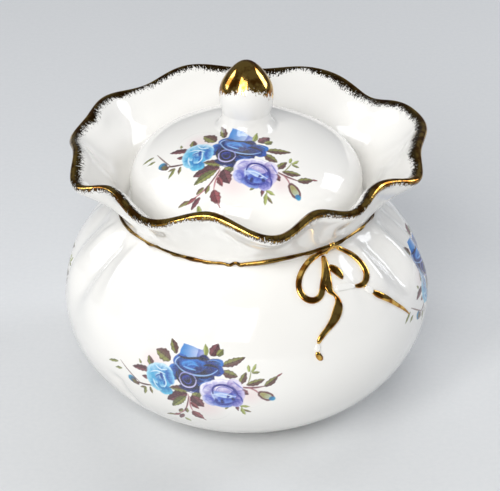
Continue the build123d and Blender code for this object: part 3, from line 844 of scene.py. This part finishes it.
class Spray:
    """Enamel colours laid one over another on points u, v in millimetres."""

    def __init__(self, u, v):
        self.u, self.v = u, v
        self.colour = np.ones((len(u), 3))
        self.cover = np.zeros(len(u))
        # Slight hand tremor, so that outlines are not drawn with a compass.
        self.tremor = 0.1 * (np.sin(2.9 * u + 1.3 * v) + np.sin(3.7 * v - 1.9 * u + 2.0))

    def lay(self, share, colour):
        """Lays a colour where share is above 0, fully where it is 1."""
        total = share + self.cover * (1 - share)
        safe = np.maximum(total, 1e-6)[:, None]
        under = (self.cover * (1 - share))[:, None] * self.colour
        self.colour = np.where(total[:, None] > 1e-6, (np.asarray(colour) * share[:, None] + under) / safe,
                               self.colour)
        self.cover = total

    def petal(self, middle, reach, half_width, heading, root, edge, softness=0.16):
        """A cupped petal: dark at its root, pale at its edge, with fine veins."""
        turn = math.radians(heading)
        du, dv = self.u - middle[0], self.v - middle[1]
        out = (du * math.cos(turn) + dv * math.sin(turn)) / reach
        side = (dv * math.cos(turn) - du * math.sin(turn)) / half_width
        spread = 1 + 0.12 * out
        field = np.sqrt(out ** 2 + (side / spread) ** 2) + 0.35 * self.tremor / min(reach, half_width)
        share = 1 - soft_step(1 - softness / reach, 1 + softness / reach, field)
        veins = 0.09 * np.sin(9 * side + 2 * out + 3 * self.tremor) + 0.05 * np.sin(23 * side)
        # Folds that follow the petal's edge, as if smaller petals lay inside it.
        veins += 0.17 * np.sin(10 * field + 1.5 * side + 4 * self.tremor) * min(1, reach / 2)
        glow = np.clip(soft_step(-0.7, 0.95, out) * 0.85 + 0.15 * soft_step(0.6, 1.0, field) + veins, 0, 1)
        root, edge = np.array(linear(root)[:3]), np.array(linear(edge)[:3])
        self.lay(share, root + (edge - root) * glow[:, None])

    def facet(self, corners, left, right):
        """A flat, angular petal with convex corners, shading from its left colour to its right."""
        corners = np.array(corners)
        depth = np.full(len(self.u), 1e9)
        for a, b in zip(corners, np.roll(corners, -1, axis=0)):
            step = (b - a) / np.linalg.norm(b - a)
            depth = np.minimum(depth, (self.v - a[1]) * step[0] - (self.u - a[0]) * step[1])
        share = soft_step(-0.15, 0.15, depth + 0.4 * self.tremor)
        low, high = corners[:, 0].min(), corners[:, 0].max()
        glow = soft_step(low, high, self.u + 0.2 * np.sin(3 * self.v))
        glow = glow * (0.75 + 0.25 * soft_step(0.1, 0.7, depth))
        left, right = np.array(linear(left)[:3]), np.array(linear(right)[:3])
        self.lay(share, left + (right - left) * glow[:, None])

    def line(self, points, half_width, colour, strength=1.0):
        """A brush line through a few points, tapering at its ends."""
        path = smooth_line(points, 0.4)
        near = np.full(len(self.u), 1e9)
        along = np.zeros(len(self.u))
        for i, (a, b) in enumerate(zip(path, path[1:])):
            step = b - a
            t = np.clip(((self.u - a[0]) * step[0] + (self.v - a[1]) * step[1]) / (step @ step), 0, 1)
            away = np.hypot(self.u - a[0] - t * step[0], self.v - a[1] - t * step[1])
            closer = away < near
            near = np.where(closer, away, near)
            along = np.where(closer, (i + t) / (len(path) - 1), along)
        width = half_width * (0.45 + 0.55 * np.sin(np.pi * np.clip(along, 0.04, 0.96)))
        share = (1 - soft_step(width - 0.1, width + 0.12, near)) * strength
        self.lay(share, linear(colour)[:3])

    def leaf(self, foot, tip, half_width, kind):
        """A pointed leaf: lit half, shaded half, a dark midrib, side veins and a darker edge."""
        light, middle, dark = (np.array(linear(c)[:3]) for c in LEAF_COLOURS[kind])
        axis = np.array(tip) - np.array(foot)
        length = np.linalg.norm(axis)
        axis = axis / length
        du, dv = self.u - foot[0], self.v - foot[1]
        along = (du * axis[0] + dv * axis[1]) / length
        side = dv * axis[0] - du * axis[1]
        side = side + 0.12 * half_width * np.sin(math.pi * along)
        shape = np.sin(np.pi * np.clip(along, 0, 1) ** 0.85) ** 0.8
        notches = 1 + 0.08 * np.sin(along * length * 5.2)
        width = half_width * shape * notches
        share = 1 - soft_step(width - 0.12, width + 0.1, np.abs(side) + 0.3 * self.tremor)
        share = share * (along > 0) * (along < 1)
        across = side / np.maximum(width, 0.05)
        shade = soft_step(-0.5, 0.5, -across)
        colour = light + (middle - light) * shade[:, None]
        rib = (1 - soft_step(0.05, 0.2, np.abs(side))) * (half_width > 0.7)
        ribs = 0.25 * (np.sin(along * length * 4.4 - 2.5 * np.abs(across)) > 0.55) * (half_width > 0.9)
        edge = soft_step(0.62, 1.0, np.abs(across))
        mark = np.clip(0.75 * rib + ribs + 0.65 * edge, 0, 1)
        self.lay(share, colour + (dark - colour) * mark[:, None])


def paint_spray(u, v):
    """A spray of three roses, buds and leaves. Returns a colour and how much it covers, per point."""
    spray = Spray(u, v)
    for middle_u, middle_v, reach, tint in BLUSHES:
        away = np.hypot(u - middle_u, v - middle_v)
        spray.lay(0.35 * (1 - soft_step(0, reach, away)), linear(tint)[:3])
    for half_width, colour, points in STEMS:
        spray.line(points, half_width, colour)
    for foot_u, foot_v, tip_u, tip_v, half_width, kind in LEAVES:
        spray.leaf((foot_u, foot_v), (tip_u, tip_v), half_width, kind)
    spray.facet(SKY_PETAL, "#4C9BDA", "#D3DCF4")
    spray.facet(SKY_FOLD, "#7C93D2", "#C3C6EA")
    for middle_u, middle_v, reach, half_width, heading, root, edge in PETALS:
        spray.petal((middle_u, middle_v), reach, half_width, heading, root, edge)
    for half_width, colour, points in RIM_LINES:
        spray.line(points, half_width, colour)
    # Fired enamels come out of the kiln deeper than they were printed.
    return spray.colour ** ENAMEL_DEPTH, spray.cover


def on_curve(u, v, angle, height, reach, half_height, centre_height):
    """Wraps flat points u, v round an ellipsoid, nearly keeping their distances from the middle."""
    # The flat sheet is first bent to a ball of this radius.
    bend = 45.0
    rise = (height - centre_height) / half_height
    middle = around(angle, reach * math.sqrt(1 - rise * rise), height)
    squared = np.array([reach, reach, half_height]) ** 2
    centre = np.array([0, 0, centre_height])
    normal = (middle - centre) / squared
    normal = normal / np.linalg.norm(normal)
    right = np.cross([0, 0, 1], normal)
    right = right / np.linalg.norm(right)
    up = np.cross(normal, right)
    away = np.maximum(np.hypot(u, v), 1e-6)
    grow = np.tan(away / bend) * bend / away
    aim = normal * bend + np.outer(u * grow, right) + np.outer(v * grow, up)
    start = middle - normal * bend - centre
    # Where each ray from the ball's middle meets the ellipsoid.
    a = (aim ** 2 / squared).sum(axis=1)
    b = 2 * (aim * start / squared).sum(axis=1)
    c = (start ** 2 / squared).sum() - 1
    t = (-b + np.sqrt(b * b - 4 * a * c)) / (2 * a)
    return centre + start + aim * t[:, None]


def spray_sheet(name, wrap, material):
    """The film of one transfer: a fine sheet under the painted part, its border sunk in the glaze."""
    us = np.arange(*SHEET_U, SHEET_STEP)
    vs = np.arange(*SHEET_V, SHEET_STEP)
    u, v = (grid.ravel() for grid in np.meshgrid(us, vs))
    colour, cover = paint_spray(u, v)
    rows, columns = len(vs), len(us)
    inked = (cover > 0.004).reshape(rows, columns)
    # Two more rows of points all round the paint make the border.
    wide = inked
    for _ in range(2):
        wider = wide.copy()
        wider[1:] |= wide[:-1]
        wider[:-1] |= wide[1:]
        wider[:, 1:] |= wide[:, :-1]
        wider[:, :-1] |= wide[:, 1:]
        wide = wider
    faces = wide[:-1, :-1] & wide[1:, :-1] & wide[:-1, 1:] & wide[1:, 1:]
    used = np.zeros((rows, columns), bool)
    count = np.zeros((rows, columns), int)
    for dr in (0, 1):
        for dc in (0, 1):
            used[dr:rows - 1 + dr, dc:columns - 1 + dc] |= faces
            count[dr:rows - 1 + dr, dc:columns - 1 + dc] += faces
    index = -np.ones(rows * columns, int)
    kept = np.flatnonzero(used.ravel())
    index[kept] = np.arange(len(kept))
    r, c = np.nonzero(faces)
    corner = r * columns + c
    quads = index[np.stack([corner, corner + 1, corner + 1 + columns, corner + columns], axis=1)]
    piece = new_mesh(name, wrap(u[kept], v[kept]), quads.tolist(), material)
    inner = count.ravel()[kept] == 4
    give(piece, "film", np.where(inner, 1.0, -3.0))
    give(piece, "outside", np.ones(len(kept)))
    paint = np.concatenate([colour[kept], cover[kept, None] * inner[:, None]], axis=1)
    give(piece, "enamel", paint, "FLOAT_COLOR")
    return piece


# ---------------------------------------------------------------- sizes and colours a user may change

def length_setting(name, description, default, low, high):
    """A length that a user may change."""
    return bpy.props.FloatProperty(
        name=name, description=description, default=default, min=low, max=high, unit="LENGTH")


def colour_setting(name, description, hex_colour):
    """A colour that a user may change, kept as the linear value of its sRGB hex colour."""
    return bpy.props.FloatVectorProperty(
        name=name, description=description, default=linear(hex_colour)[:3], min=0, max=1, subtype="COLOR")


class TrinketBoxSizes(bpy.types.PropertyGroup):
    """Sizes that the makers below read."""

    gather_depth: length_setting(
        "Gather depth", "How deep the gathers below the neck are pressed", 1.7 * MM, 0, 3 * MM)
    hand_wobble: length_setting(
        "Hand wobble", "Unevenness of the hand-formed ruffle", 0.5 * MM, 0, 2 * MM)
    lip_solid_outside: length_setting(
        "Gold outside", "Width of the solid gold band outside the lip", 1.5 * MM, 0, 5 * MM)
    lip_fringe_outside: length_setting(
        "Fringe outside", "Width over which the outer gold breaks into hairs", 2.4 * MM, 0.1 * MM, 6 * MM)
    lip_solid_inside: length_setting(
        "Gold inside", "Width of the solid gold band inside the lip", 0.5 * MM, 0, 5 * MM)
    lip_fringe_inside: length_setting(
        "Fringe inside", "Width over which the inner gold breaks into hairs", 2.6 * MM, 0.1 * MM, 6 * MM)
    knob_gilt_height: length_setting(
        "Knob gold height", "Height above the table where the knob's gold ends",
        KNOB_HIGH.z - 7.6 * MM, 80 * MM, 110 * MM)
    film_lift: length_setting(
        "Film lift", "How far a fired transfer stands above the glaze", 0.03 * MM, 0.01 * MM, 0.2 * MM)
    floor_width: length_setting("Floor width", "Width of the studio floor", 4.0, 0.5, 20)


class TrinketBoxColours(bpy.types.PropertyGroup):
    """Colours of the finishes and the studio."""

    china: colour_setting("China", "Bone china under clear glaze", "#F6F5F2")
    china_shade: colour_setting("China shade", "The warmer white where the body is thicker", "#F1EFEB")
    gold: colour_setting("Gold", "Bright fired gold", "#E8BC62")
    gold_deep: colour_setting("Deep gold", "Gold where the brush left more of it", "#9A6322")
    # The brown of thin gold, also laid as painted shade and dark reflection on the lip's inner side and on
    # the neck cord.
    thin_gold_and_painted_shade: colour_setting("Thin gold and painted shade", "The brown edge where the gold is thin", "#3A2810")
    floor: colour_setting("Floor", "Pale studio paper", "#D9DBDD")
    floor_grain: colour_setting("Floor grain", "The paler fibres of the studio paper", "#E1E2E3")


def sizes_of(context):
    return context.scene.trinket_box_sizes


def colours_of(context):
    return context.scene.trinket_box_colours


# ---------------------------------------------------------------- makers

def fold_push(angle, height):
    """How far the soft folds stand out of the belly at an angle and height, in millimetres."""
    push = np.zeros(np.broadcast(angle, height).shape)
    for top_angle, low_angle, top, low, width, out in BELLY_FOLDS:
        down = (top - height) / (top - low)
        middle = top_angle + (low_angle - top_angle) * np.clip(down, 0, 1)
        fade = soft_step(-0.12, 0.2, down) * (1 - soft_step(0.6, 1.15, down))
        away = (angle - middle + 180) % 360 - 180
        push += out * fade * np.exp(-(away / width) ** 2)
    return push * (1 - soft_step(54.5, 57.5, height))


def folded(points):
    """Points of the belly's smooth outside with the folds added, in millimetres."""
    angle = np.degrees(np.arctan2(points[:, 0], -points[:, 1]))
    normal = points - [0, 0, BELLY_CENTRE]
    normal = normal / np.array([BELLY_REACH, BELLY_REACH, BELLY_HALF]) ** 2
    normal = normal / np.linalg.norm(normal, axis=1)[:, None]
    return points + normal * fold_push(angle, points[:, 2])[:, None]


class TRINKET_OT_belly(bpy.types.Operator):
    """Makes the pouch's belly: a china shell with gathers, soft folds and a bare foot ring"""
    bl_idname = "trinket.belly"
    bl_label = "Pouch belly"

    def execute(self, context):
        outside = arc(BELLY_CENTRE, BELLY_REACH, BELLY_HALF, FOOT_SLOPE_TOP, NECK_HEIGHT, 0.75)
        foot = evenly([*FOOT_SECTION, tuple(outside[0])], 0.8)
        inside = arc(BELLY_CENTRE, BELLY_RADIUS - BELLY_WALL, BELLY_HALF - BELLY_WALL,
                     BELLY_FLOOR, NECK_HEIGHT, 1.2)[::-1]
        across = evenly([tuple(outside[-1]), tuple(inside[0])], 1.0)
        floor = evenly([tuple(inside[-1]), (0.0, BELLY_FLOOR)], 1.5)
        outline = np.vstack([foot, outside[1:], across[1:], inside[1:], floor[1:]])
        columns = 360
        finish = foot_material(colours_of(context))
        piece = turned("belly_shell", outline, columns, finish, sharp=50)
        points = read_vertices(piece) / MM
        first = 1 + (len(foot) - 2) * columns
        outer = np.zeros(len(points))
        outer[first:first + len(outside) * columns] = 1
        points[outer > 0] = folded(points)[outer > 0]
        piece.data.vertices.foreach_set("co", (points * MM).ravel())
        give(piece, "outside", outer)
        give(piece, "film", np.zeros(len(points)))
        grown(piece, gathers_tree(), finish, **{"Gather depth": sizes_of(context).gather_depth})
        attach(piece, "pouch")
        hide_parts("pouch_belly")
        return {"FINISHED"}


def row_marks(length, near, close, apart):
    """Distances from the lip for the collar's rows: close together up to near, then further apart."""
    marks = [0.0]
    while marks[-1] < length:
        marks.append(marks[-1] + (close if marks[-1] < near else apart))
    return marks


class TRINKET_OT_collar(bpy.types.Operator):
    """Makes the ruffled collar with its gilt lip and the lid's seat"""
    bl_idname = "trinket.collar"
    bl_label = "Ruffled collar"

    def execute(self, context):
        wall = smooth_line(COLLAR_OUTSIDE + COLLAR_LIP + COLLAR_INSIDE, 0.1)
        crest = int(np.argmax(wall[:, 1]))
        way = np.concatenate([[0], np.cumsum(np.linalg.norm(np.diff(wall, axis=0), axis=1))])
        lip = way[crest] - way
        # Rows are close together near the lip, where the gold's edge needs them, and wider away from it.
        marks = np.array(row_marks(way[-1], near=4.5, close=0.25, apart=0.7))
        up = way[crest] - marks[marks < way[crest]][::-1]
        down = way[crest] + marks[1:][marks[1:] < way[-1] - way[crest]]
        rows = np.concatenate([[0], up, down, [way[-1]]])
        section = np.stack([np.interp(rows, way, wall[:, k]) for k in (0, 1)], axis=1)
        lips = np.interp(rows, way, lip)
        section = np.vstack([section, LEDGE])
        lips = np.concatenate([lips, np.full(len(LEDGE), FAR_FROM_LIP)])
        columns = 540
        turns = -180 + np.arange(columns) * 360 / columns
        knots = np.array(RIM_KNOTS, float)
        wave = spline(knots[:, 0], knots[:, 1:], period=360)(turns)
        points = np.vstack([around(turns, r, z) for r, z in section])
        finish = gilt_lip_material(colours_of(context), sizes_of(context))
        piece = new_mesh("collar_ruffle", points, ring_faces(len(section), columns), finish, sharp=60)
        point_outwards(piece)
        give(piece, "wave_out", np.tile((wave[:, 0] - RIM_RADIUS) * MM, len(section)))
        give(piece, "wave_up", np.tile((wave[:, 1] - RIM_HEIGHT) * MM, len(section)))
        along = np.tile(around(turns, RIM_RADIUS, 0.0), (len(section), 1))
        along[:, 2] = np.repeat(lips, columns)
        layer = piece.data.attributes.new("rim_way", "FLOAT_VECTOR", "POINT")
        layer.data.foreach_set("vector", (along * MM).ravel())
        grown(piece, ruffle_tree(), finish, **{"Hand wobble": sizes_of(context).hand_wobble})
        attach(piece, "pouch")
        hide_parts("ruffled_collar")
        return {"FINISHED"}


class TRINKET_OT_lid(bpy.types.Operator):
    """Makes the domed lid, its locating flange and its gilt knob"""
    bl_idname = "trinket.lid"
    bl_label = "Lid and knob"

    def execute(self, context):
        colours, sizes = colours_of(context), sizes_of(context)
        dome = arc(LID_EDGE, LID_RADIUS, DOME_HEIGHT, LID_EDGE, dome_level(STEM_FOOT), 0.6)
        flare = stem_flare()
        hollow_top = LID_EDGE + DOME_HEIGHT - LID_WALL
        hollow = arc(LID_EDGE, LID_RADIUS - LID_WALL, DOME_HEIGHT - LID_WALL, LID_EDGE + 0.6,
                     hollow_top - 0.005, 1.0)[::-1]
        under = evenly([(FLANGE_INSIDE, 65.0), (FLANGE_INSIDE, FLANGE_BOTTOM + FLANGE_BREAK),
                        (FLANGE_INSIDE + FLANGE_BREAK, FLANGE_BOTTOM),
                        (FLANGE_OUTSIDE - FLANGE_BREAK, FLANGE_BOTTOM),
                        (FLANGE_OUTSIDE, FLANGE_BOTTOM + FLANGE_BREAK), (FLANGE_OUTSIDE, LID_UNDER),
                        (31.1, LID_UNDER)], 0.5)
        edge = smooth_line([(31.1, LID_UNDER), (31.55, 60.18), (31.78, 60.6), (LID_RADIUS, 61.2)], 0.15)
        side = evenly([(LID_RADIUS, 61.2), (LID_RADIUS, LID_EDGE)], 0.6)
        outline = np.vstack([[(0, hollow_top)], hollow[1:], under, edge[1:], side[1:], dome[1:], flare[1:],
                             [(0, STEM_TOP)]])
        lid = turned("lid_dome", outline, 300, china_material(colours), sharp=50)
        bud = smooth_line([(6.6, STEM_TOP), (7.0, 87.2), (7.36, 90.3), (6.95, 93.0), (6.03, 94.9),
                           (4.6, 97.0), (2.9, 98.8), (1.4, 99.75), (0, KNOB_TOP)], 0.3)
        bud[-1, 0] = 0
        outline = np.vstack([[(0, STEM_TOP), (3.3, STEM_TOP)], bud])
        knob = turned("knob_bud", outline, 128, gilt_knob_material(colours, sizes), sharp=60)
        for piece, stands_for in ((lid, "lid"), (knob, "lid_knob")):
            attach(piece, "lid")
            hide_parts(stands_for)
        return {"FINISHED"}


def dome_level(radius):
    """The height of the lid's dome at a radius."""
    return LID_EDGE + DOME_HEIGHT * math.sqrt(1 - (radius / LID_RADIUS) ** 2)


def stem_flare():
    """The lid's section from the dome up to the knob, as even points."""
    start = [(r, dome_level(r)) for r in (STEM_FOOT, STEM_FOOT - 0.25)]
    return smooth_line([*start, (7.5, 82.35), (6.8, 83.7), (6.6, STEM_TOP)], 0.3)


def up_the_flare(points):
    """Moves points of the dome that lie inside the stem's foot onto the flare, keeping distances."""
    radius = np.hypot(points[:, 0], points[:, 1])
    flare = stem_flare()
    way = np.concatenate([[0], np.cumsum(np.linalg.norm(np.diff(flare, axis=0), axis=1))])
    inside = np.clip(STEM_FOOT - radius, 0, 4.5)
    new_radius = np.where(inside > 0, np.interp(inside, way, flare[:, 0]), radius)
    height = np.where(inside > 0, np.interp(inside, way, flare[:, 1]), points[:, 2])
    share = (new_radius / np.maximum(radius, 0.1))[:, None]
    return np.column_stack([points[:, :2] * share, height])


def route_piece(name, points, half_width, endless):
    """A route as a bare line of points with its cord's half-width, ready for the cord's tree."""
    mesh = bpy.data.meshes.new(name)
    count = len(points)
    edges = [(i, i + 1) for i in range(count - 1)] + ([(count - 1, 0)] if endless else [])
    mesh.from_pydata((np.asarray(points) * MM).tolist(), edges, [])
    piece = bpy.data.objects.new(name, mesh)
    bpy.context.scene.collection.objects.link(piece)
    give(piece, "half_width", np.asarray(half_width) * MM)
    give(piece, "endless", np.full(count, 1.0 if endless else 0.0))
    return piece


def press_flat(piece, surface, top):
    """Presses a cord down to a low ribbon: nothing stands more than top millimetres off the surface."""
    for vertex in piece.data.vertices:
        found, normal, _, _ = surface.find_nearest(vertex.co)
        stands = (vertex.co - found).dot(normal) / MM
        if stands > 0 and vertex.co.z < NECK_HEIGHT * MM:
            vertex.co += normal * (top * math.tanh(stands / top) - stands) * MM


class TRINKET_OT_drawstring(bpy.types.Operator):
    """Makes the raised gold drawstring: the cord round the neck, the knot, two loops and two tails"""
    bl_idname = "trinket.drawstring"
    bl_label = "Drawstring and bow"

    def execute(self, context):
        belly = bpy.data.objects["belly_shell"]
        graph = bpy.context.evaluated_depsgraph_get()
        surface = BVHTree.FromObject(belly, graph)
        tree = relief_cord_tree()
        gold = gold_material(colours_of(context))

        def laid(route):
            """Even points on the belly along a route, each with its half-width."""
            rough = []
            for angle, height, half_width in route:
                rise = (height - BELLY_CENTRE) / (BELLY_HALF + CORD_STAND)
                spot = around(angle, (BELLY_RADIUS + CORD_STAND) * math.sqrt(1 - rise * rise), height)
                rough.append((*spot, half_width))
            line = smooth_line(rough, 0.3)
            points = []
            for x, y, z, half_width in line:
                if z > NECK_HEIGHT:
                    # Above the neck the cord lies on the collar's foot.
                    angle = math.degrees(math.atan2(x, -y))
                    points.append(around(angle, NECK_RADIUS + COLLAR_LEAN * (z - NECK_HEIGHT), z))
                    continue
                found, normal, _, _ = surface.find_nearest(Vector((x, y, z)) * MM)
                points.append(np.array(found) / MM + np.array(normal) * CORD_PROUD * half_width)
            return np.array(points), line[:, 3]

        made = {name: [laid(route)] for name, route in CORD_ROUTES.items()}
        for name, route in GILT_ENDS.items():
            made[name].append(laid(route))
        made["bow_knot"] = [laid(route) for route in KNOT_ROUTES]
        turns = np.arange(720) * 0.5 - 180
        ripple = np.exp(-((turns + 5.5) / 3.5) ** 2) * np.sin(np.radians(turns * 60)) * 0.5
        twist = np.exp(-((turns + 23.5) / 4.0) ** 2) * 0.35
        # The cord climbs a little on to the collar's foot where the bow hangs from it.
        climb = 1.8 * soft_step(-8, 32, turns) * (1 - soft_step(56, 84, turns))
        height = NECK_HEIGHT + 0.05 + 0.12 * np.sin(np.radians(turns * 7)) + ripple + climb
        reach = NECK_RADIUS + COLLAR_LEAN * climb
        main = around(turns, reach + 0.1 * np.sin(np.radians(turns * 5 + 40)), height)
        width = 0.5 + 0.1 * np.sin(np.radians(turns * 9)) + 0.1 * np.sin(np.radians(turns * 4 + 70))
        width = width + twist * 0.6 + 0.35 * np.exp(-((turns - 34) / 4.5) ** 2)
        strand = np.radians(turns * 24)
        second = around(turns, reach + 0.1 + 0.34 * np.cos(strand), height + 0.34 * np.sin(strand))
        for name, runs in made.items():
            ends = [route_piece(name + "_run", points, widths, False) for points, widths in runs]
            self.finish("gold_" + name, ends, tree, gold, "fired_gold", name, surface)
        bare = [route_piece("bare_and_glare_run", *laid(route), False) for route in BARE_AND_GLARE_ROUTES]
        # The bare stretches, white china that also paints the gold's glare as a highlight, wear the lid's
        # china.
        china = bpy.data.materials["glazed_bone_china"]
        self.finish("bare_relief_and_painted_glare", bare, tree, china, "bone_china", None, surface)
        ends = [route_piece("neck_cord_run", main, width, True),
                route_piece("neck_cord_run", second, np.full(len(turns), 0.26), True)]
        # Painted shade: the neck cord's gold is made three-quarters brown, for the dark it mirrors at the
        # neck.
        dark = gold_material(colours_of(context), "gold_with_painted_shade", 0.75)
        self.finish("gold_neck_cord", ends, tree, dark, "fired_gold", "neck_cord", None)
        return {"FINISHED"}

    def finish(self, name, runs, tree, material, slot, stands_for, surface):
        """Grows each run into a cord, presses it flat, joins them and lets the piece ride on the pouch."""
        for run in runs:
            grown(run, tree, material)
            if surface:
                press_flat(run, surface, RIBBON_HEIGHT)
        bpy.ops.object.select_all(action="DESELECT")
        for run in runs:
            run.select_set(True)
        bpy.context.view_layer.objects.active = runs[0]
        if len(runs) > 1:
            bpy.ops.object.join()
        piece = runs[0]
        piece.name = name
        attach(piece, "pouch")
        if stands_for:
            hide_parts(stands_for)


class TRINKET_OT_transfers(bpy.types.Operator):
    """Fires the rose sprays onto the lid and round the belly"""
    bl_idname = "trinket.transfers"
    bl_label = "Rose transfers"

    def execute(self, context):
        film = transfer_material(colours_of(context))
        lift = sizes_of(context).film_lift
        tree = bpy.data.node_groups["Gathers"]
        for side, angle, height in SIDE_SPRAYS:
            def on_belly(u, v):
                return folded(on_curve(u, v, angle, height, BELLY_REACH, BELLY_HALF, BELLY_CENTRE))

            piece = spray_sheet("transfer_" + side, on_belly, film)
            grown(piece, tree, film, **{"Gather depth": sizes_of(context).gather_depth, "Film lift": lift})
            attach(piece, "pouch")

        def on_lid(u, v):
            return up_the_flare(on_curve(u, v, -20.5, dome_level(16.6), LID_RADIUS, DOME_HEIGHT, LID_EDGE))

        piece = spray_sheet("transfer_lid", on_lid, film)
        points = read_vertices(piece)
        film_share = np.empty(len(points))
        piece.data.attributes["film"].data.foreach_get("value", film_share)
        points = points + read_vertices(piece, "normal") * film_share[:, None] * lift
        piece.data.vertices.foreach_set("co", points.ravel())
        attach(piece, "lid")
        return {"FINISHED"}


def softbox(name, place_at, target, width, height, power, colour, mirrored):
    """A rectangular studio light facing a point. Unless mirrored, no glaze or gold reflects it."""
    light = bpy.data.lights.new(name, "AREA")
    light.shape = "RECTANGLE"
    light.size, light.size_y = width, height
    light.energy = power
    light.color = linear(colour)[:3]
    lamp = bpy.data.objects.new(name, light)
    bpy.context.scene.collection.objects.link(lamp)
    lamp.location = place_at
    lamp.rotation_euler = (Vector(target) - Vector(place_at)).to_track_quat("-Z", "Y").to_euler()
    lamp.visible_glossy = mirrored


def from_target(target, azimuth, elevation, distance):
    """A place at an azimuth from the front and an elevation, both in degrees, seen from the target."""
    a, e = math.radians(azimuth), math.radians(elevation)
    aside = math.cos(e)
    return Vector(target) + distance * Vector((math.sin(a) * aside, -math.cos(a) * aside, math.sin(e)))


class TRINKET_OT_stage(bpy.types.Operator):
    """Sets the pale floor, the soft studio lights and the camera"""
    bl_idname = "trinket.stage"
    bl_label = "Studio stage"

    def execute(self, context):
        scene = context.scene
        material, tree, shader, where = start_material("studio_paper")
        colours = colours_of(context)
        grain = noise_of(tree, where, 1.5 * MM, detail=3.0)
        tone = mix_of(tree, grain, linear_of(colours.floor), linear_of(colours.floor_grain))
        tree.links.new(tone, shader.inputs["Base Color"])
        shader.inputs["Roughness"].default_value = 0.85
        half = sizes_of(context).floor_width / 2 / MM
        corners = [(-half, -half, 0), (half, -half, 0), (half, half, 0), (-half, half, 0)]
        floor = new_mesh("studio_floor", corners, [(0, 1, 2, 3)], material)

        target = Vector((0, 0, 0.045))
        for name, azimuth, elevation, distance, *make in LIGHTS:
            softbox(name, from_target(target, azimuth, elevation, distance), target, *make)

        world = bpy.data.worlds.new("studio_world")
        world.use_nodes = True
        world.node_tree.nodes["Background"].inputs["Color"].default_value = linear("#D5DCE6")
        world.node_tree.nodes["Background"].inputs["Strength"].default_value = 0.16
        scene.world = world
        scene.view_settings.view_transform = "Standard"

        elevation = math.radians(CAMERA_ELEVATION)
        back = Vector((0, -math.cos(elevation), math.sin(elevation)))
        up = Vector((0, math.sin(elevation), math.cos(elevation)))
        aim = Vector((AIM_RIGHT * MM, 0, BELLY_CENTRE * MM)) + up * AIM_UP * MM
        lens = bpy.data.cameras.new("camera")
        lens.sensor_width = 36.0
        lens.lens = lens.sensor_width * CAMERA_DISTANCE / FIELD_WIDTH
        lens.clip_start, lens.clip_end = 0.01, 20
        camera = bpy.data.objects.new("camera", lens)
        scene.collection.objects.link(camera)
        camera.location = aim + back * CAMERA_DISTANCE * MM
        camera.rotation_mode = "QUATERNION"
        camera.rotation_quaternion = (-back).to_track_quat("-Z", "Y")
        scene.camera = camera
        return {"FINISHED"}


class TRINKET_PT_makers(bpy.types.Panel):
    """Lists the makers, the sizes and the colours in the 3D view's sidebar"""
    bl_label = "Trinket box"
    bl_idname = "TRINKET_PT_makers"
    bl_space_type = "VIEW_3D"
    bl_region_type = "UI"
    bl_category = "Trinket box"

    def draw(self, context):
        for maker in MAKERS:
            self.layout.operator(maker.bl_idname)
        for group in (sizes_of(context), colours_of(context)):
            for name in group.__annotations__:
                self.layout.prop(group, name)


MAKERS = (TRINKET_OT_belly, TRINKET_OT_collar, TRINKET_OT_lid, TRINKET_OT_drawstring, TRINKET_OT_transfers,
          TRINKET_OT_stage)
CLASSES = (TrinketBoxSizes, TrinketBoxColours, *MAKERS, TRINKET_PT_makers)


def register():
    for kind in CLASSES:
        bpy.utils.register_class(kind)
    bpy.types.Scene.trinket_box_sizes = bpy.props.PointerProperty(type=TrinketBoxSizes)
    bpy.types.Scene.trinket_box_colours = bpy.props.PointerProperty(type=TrinketBoxColours)


def unregister():
    del bpy.types.Scene.trinket_box_colours
    del bpy.types.Scene.trinket_box_sizes
    for kind in reversed(CLASSES):
        bpy.utils.unregister_class(kind)


def main():
    register()
    bpy.ops.trinket.stage()
    bpy.ops.trinket.belly()
    bpy.ops.trinket.collar()
    bpy.ops.trinket.lid()
    bpy.ops.trinket.drawstring()
    bpy.ops.trinket.transfers()
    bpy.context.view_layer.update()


if __name__ == "__main__":
    main()
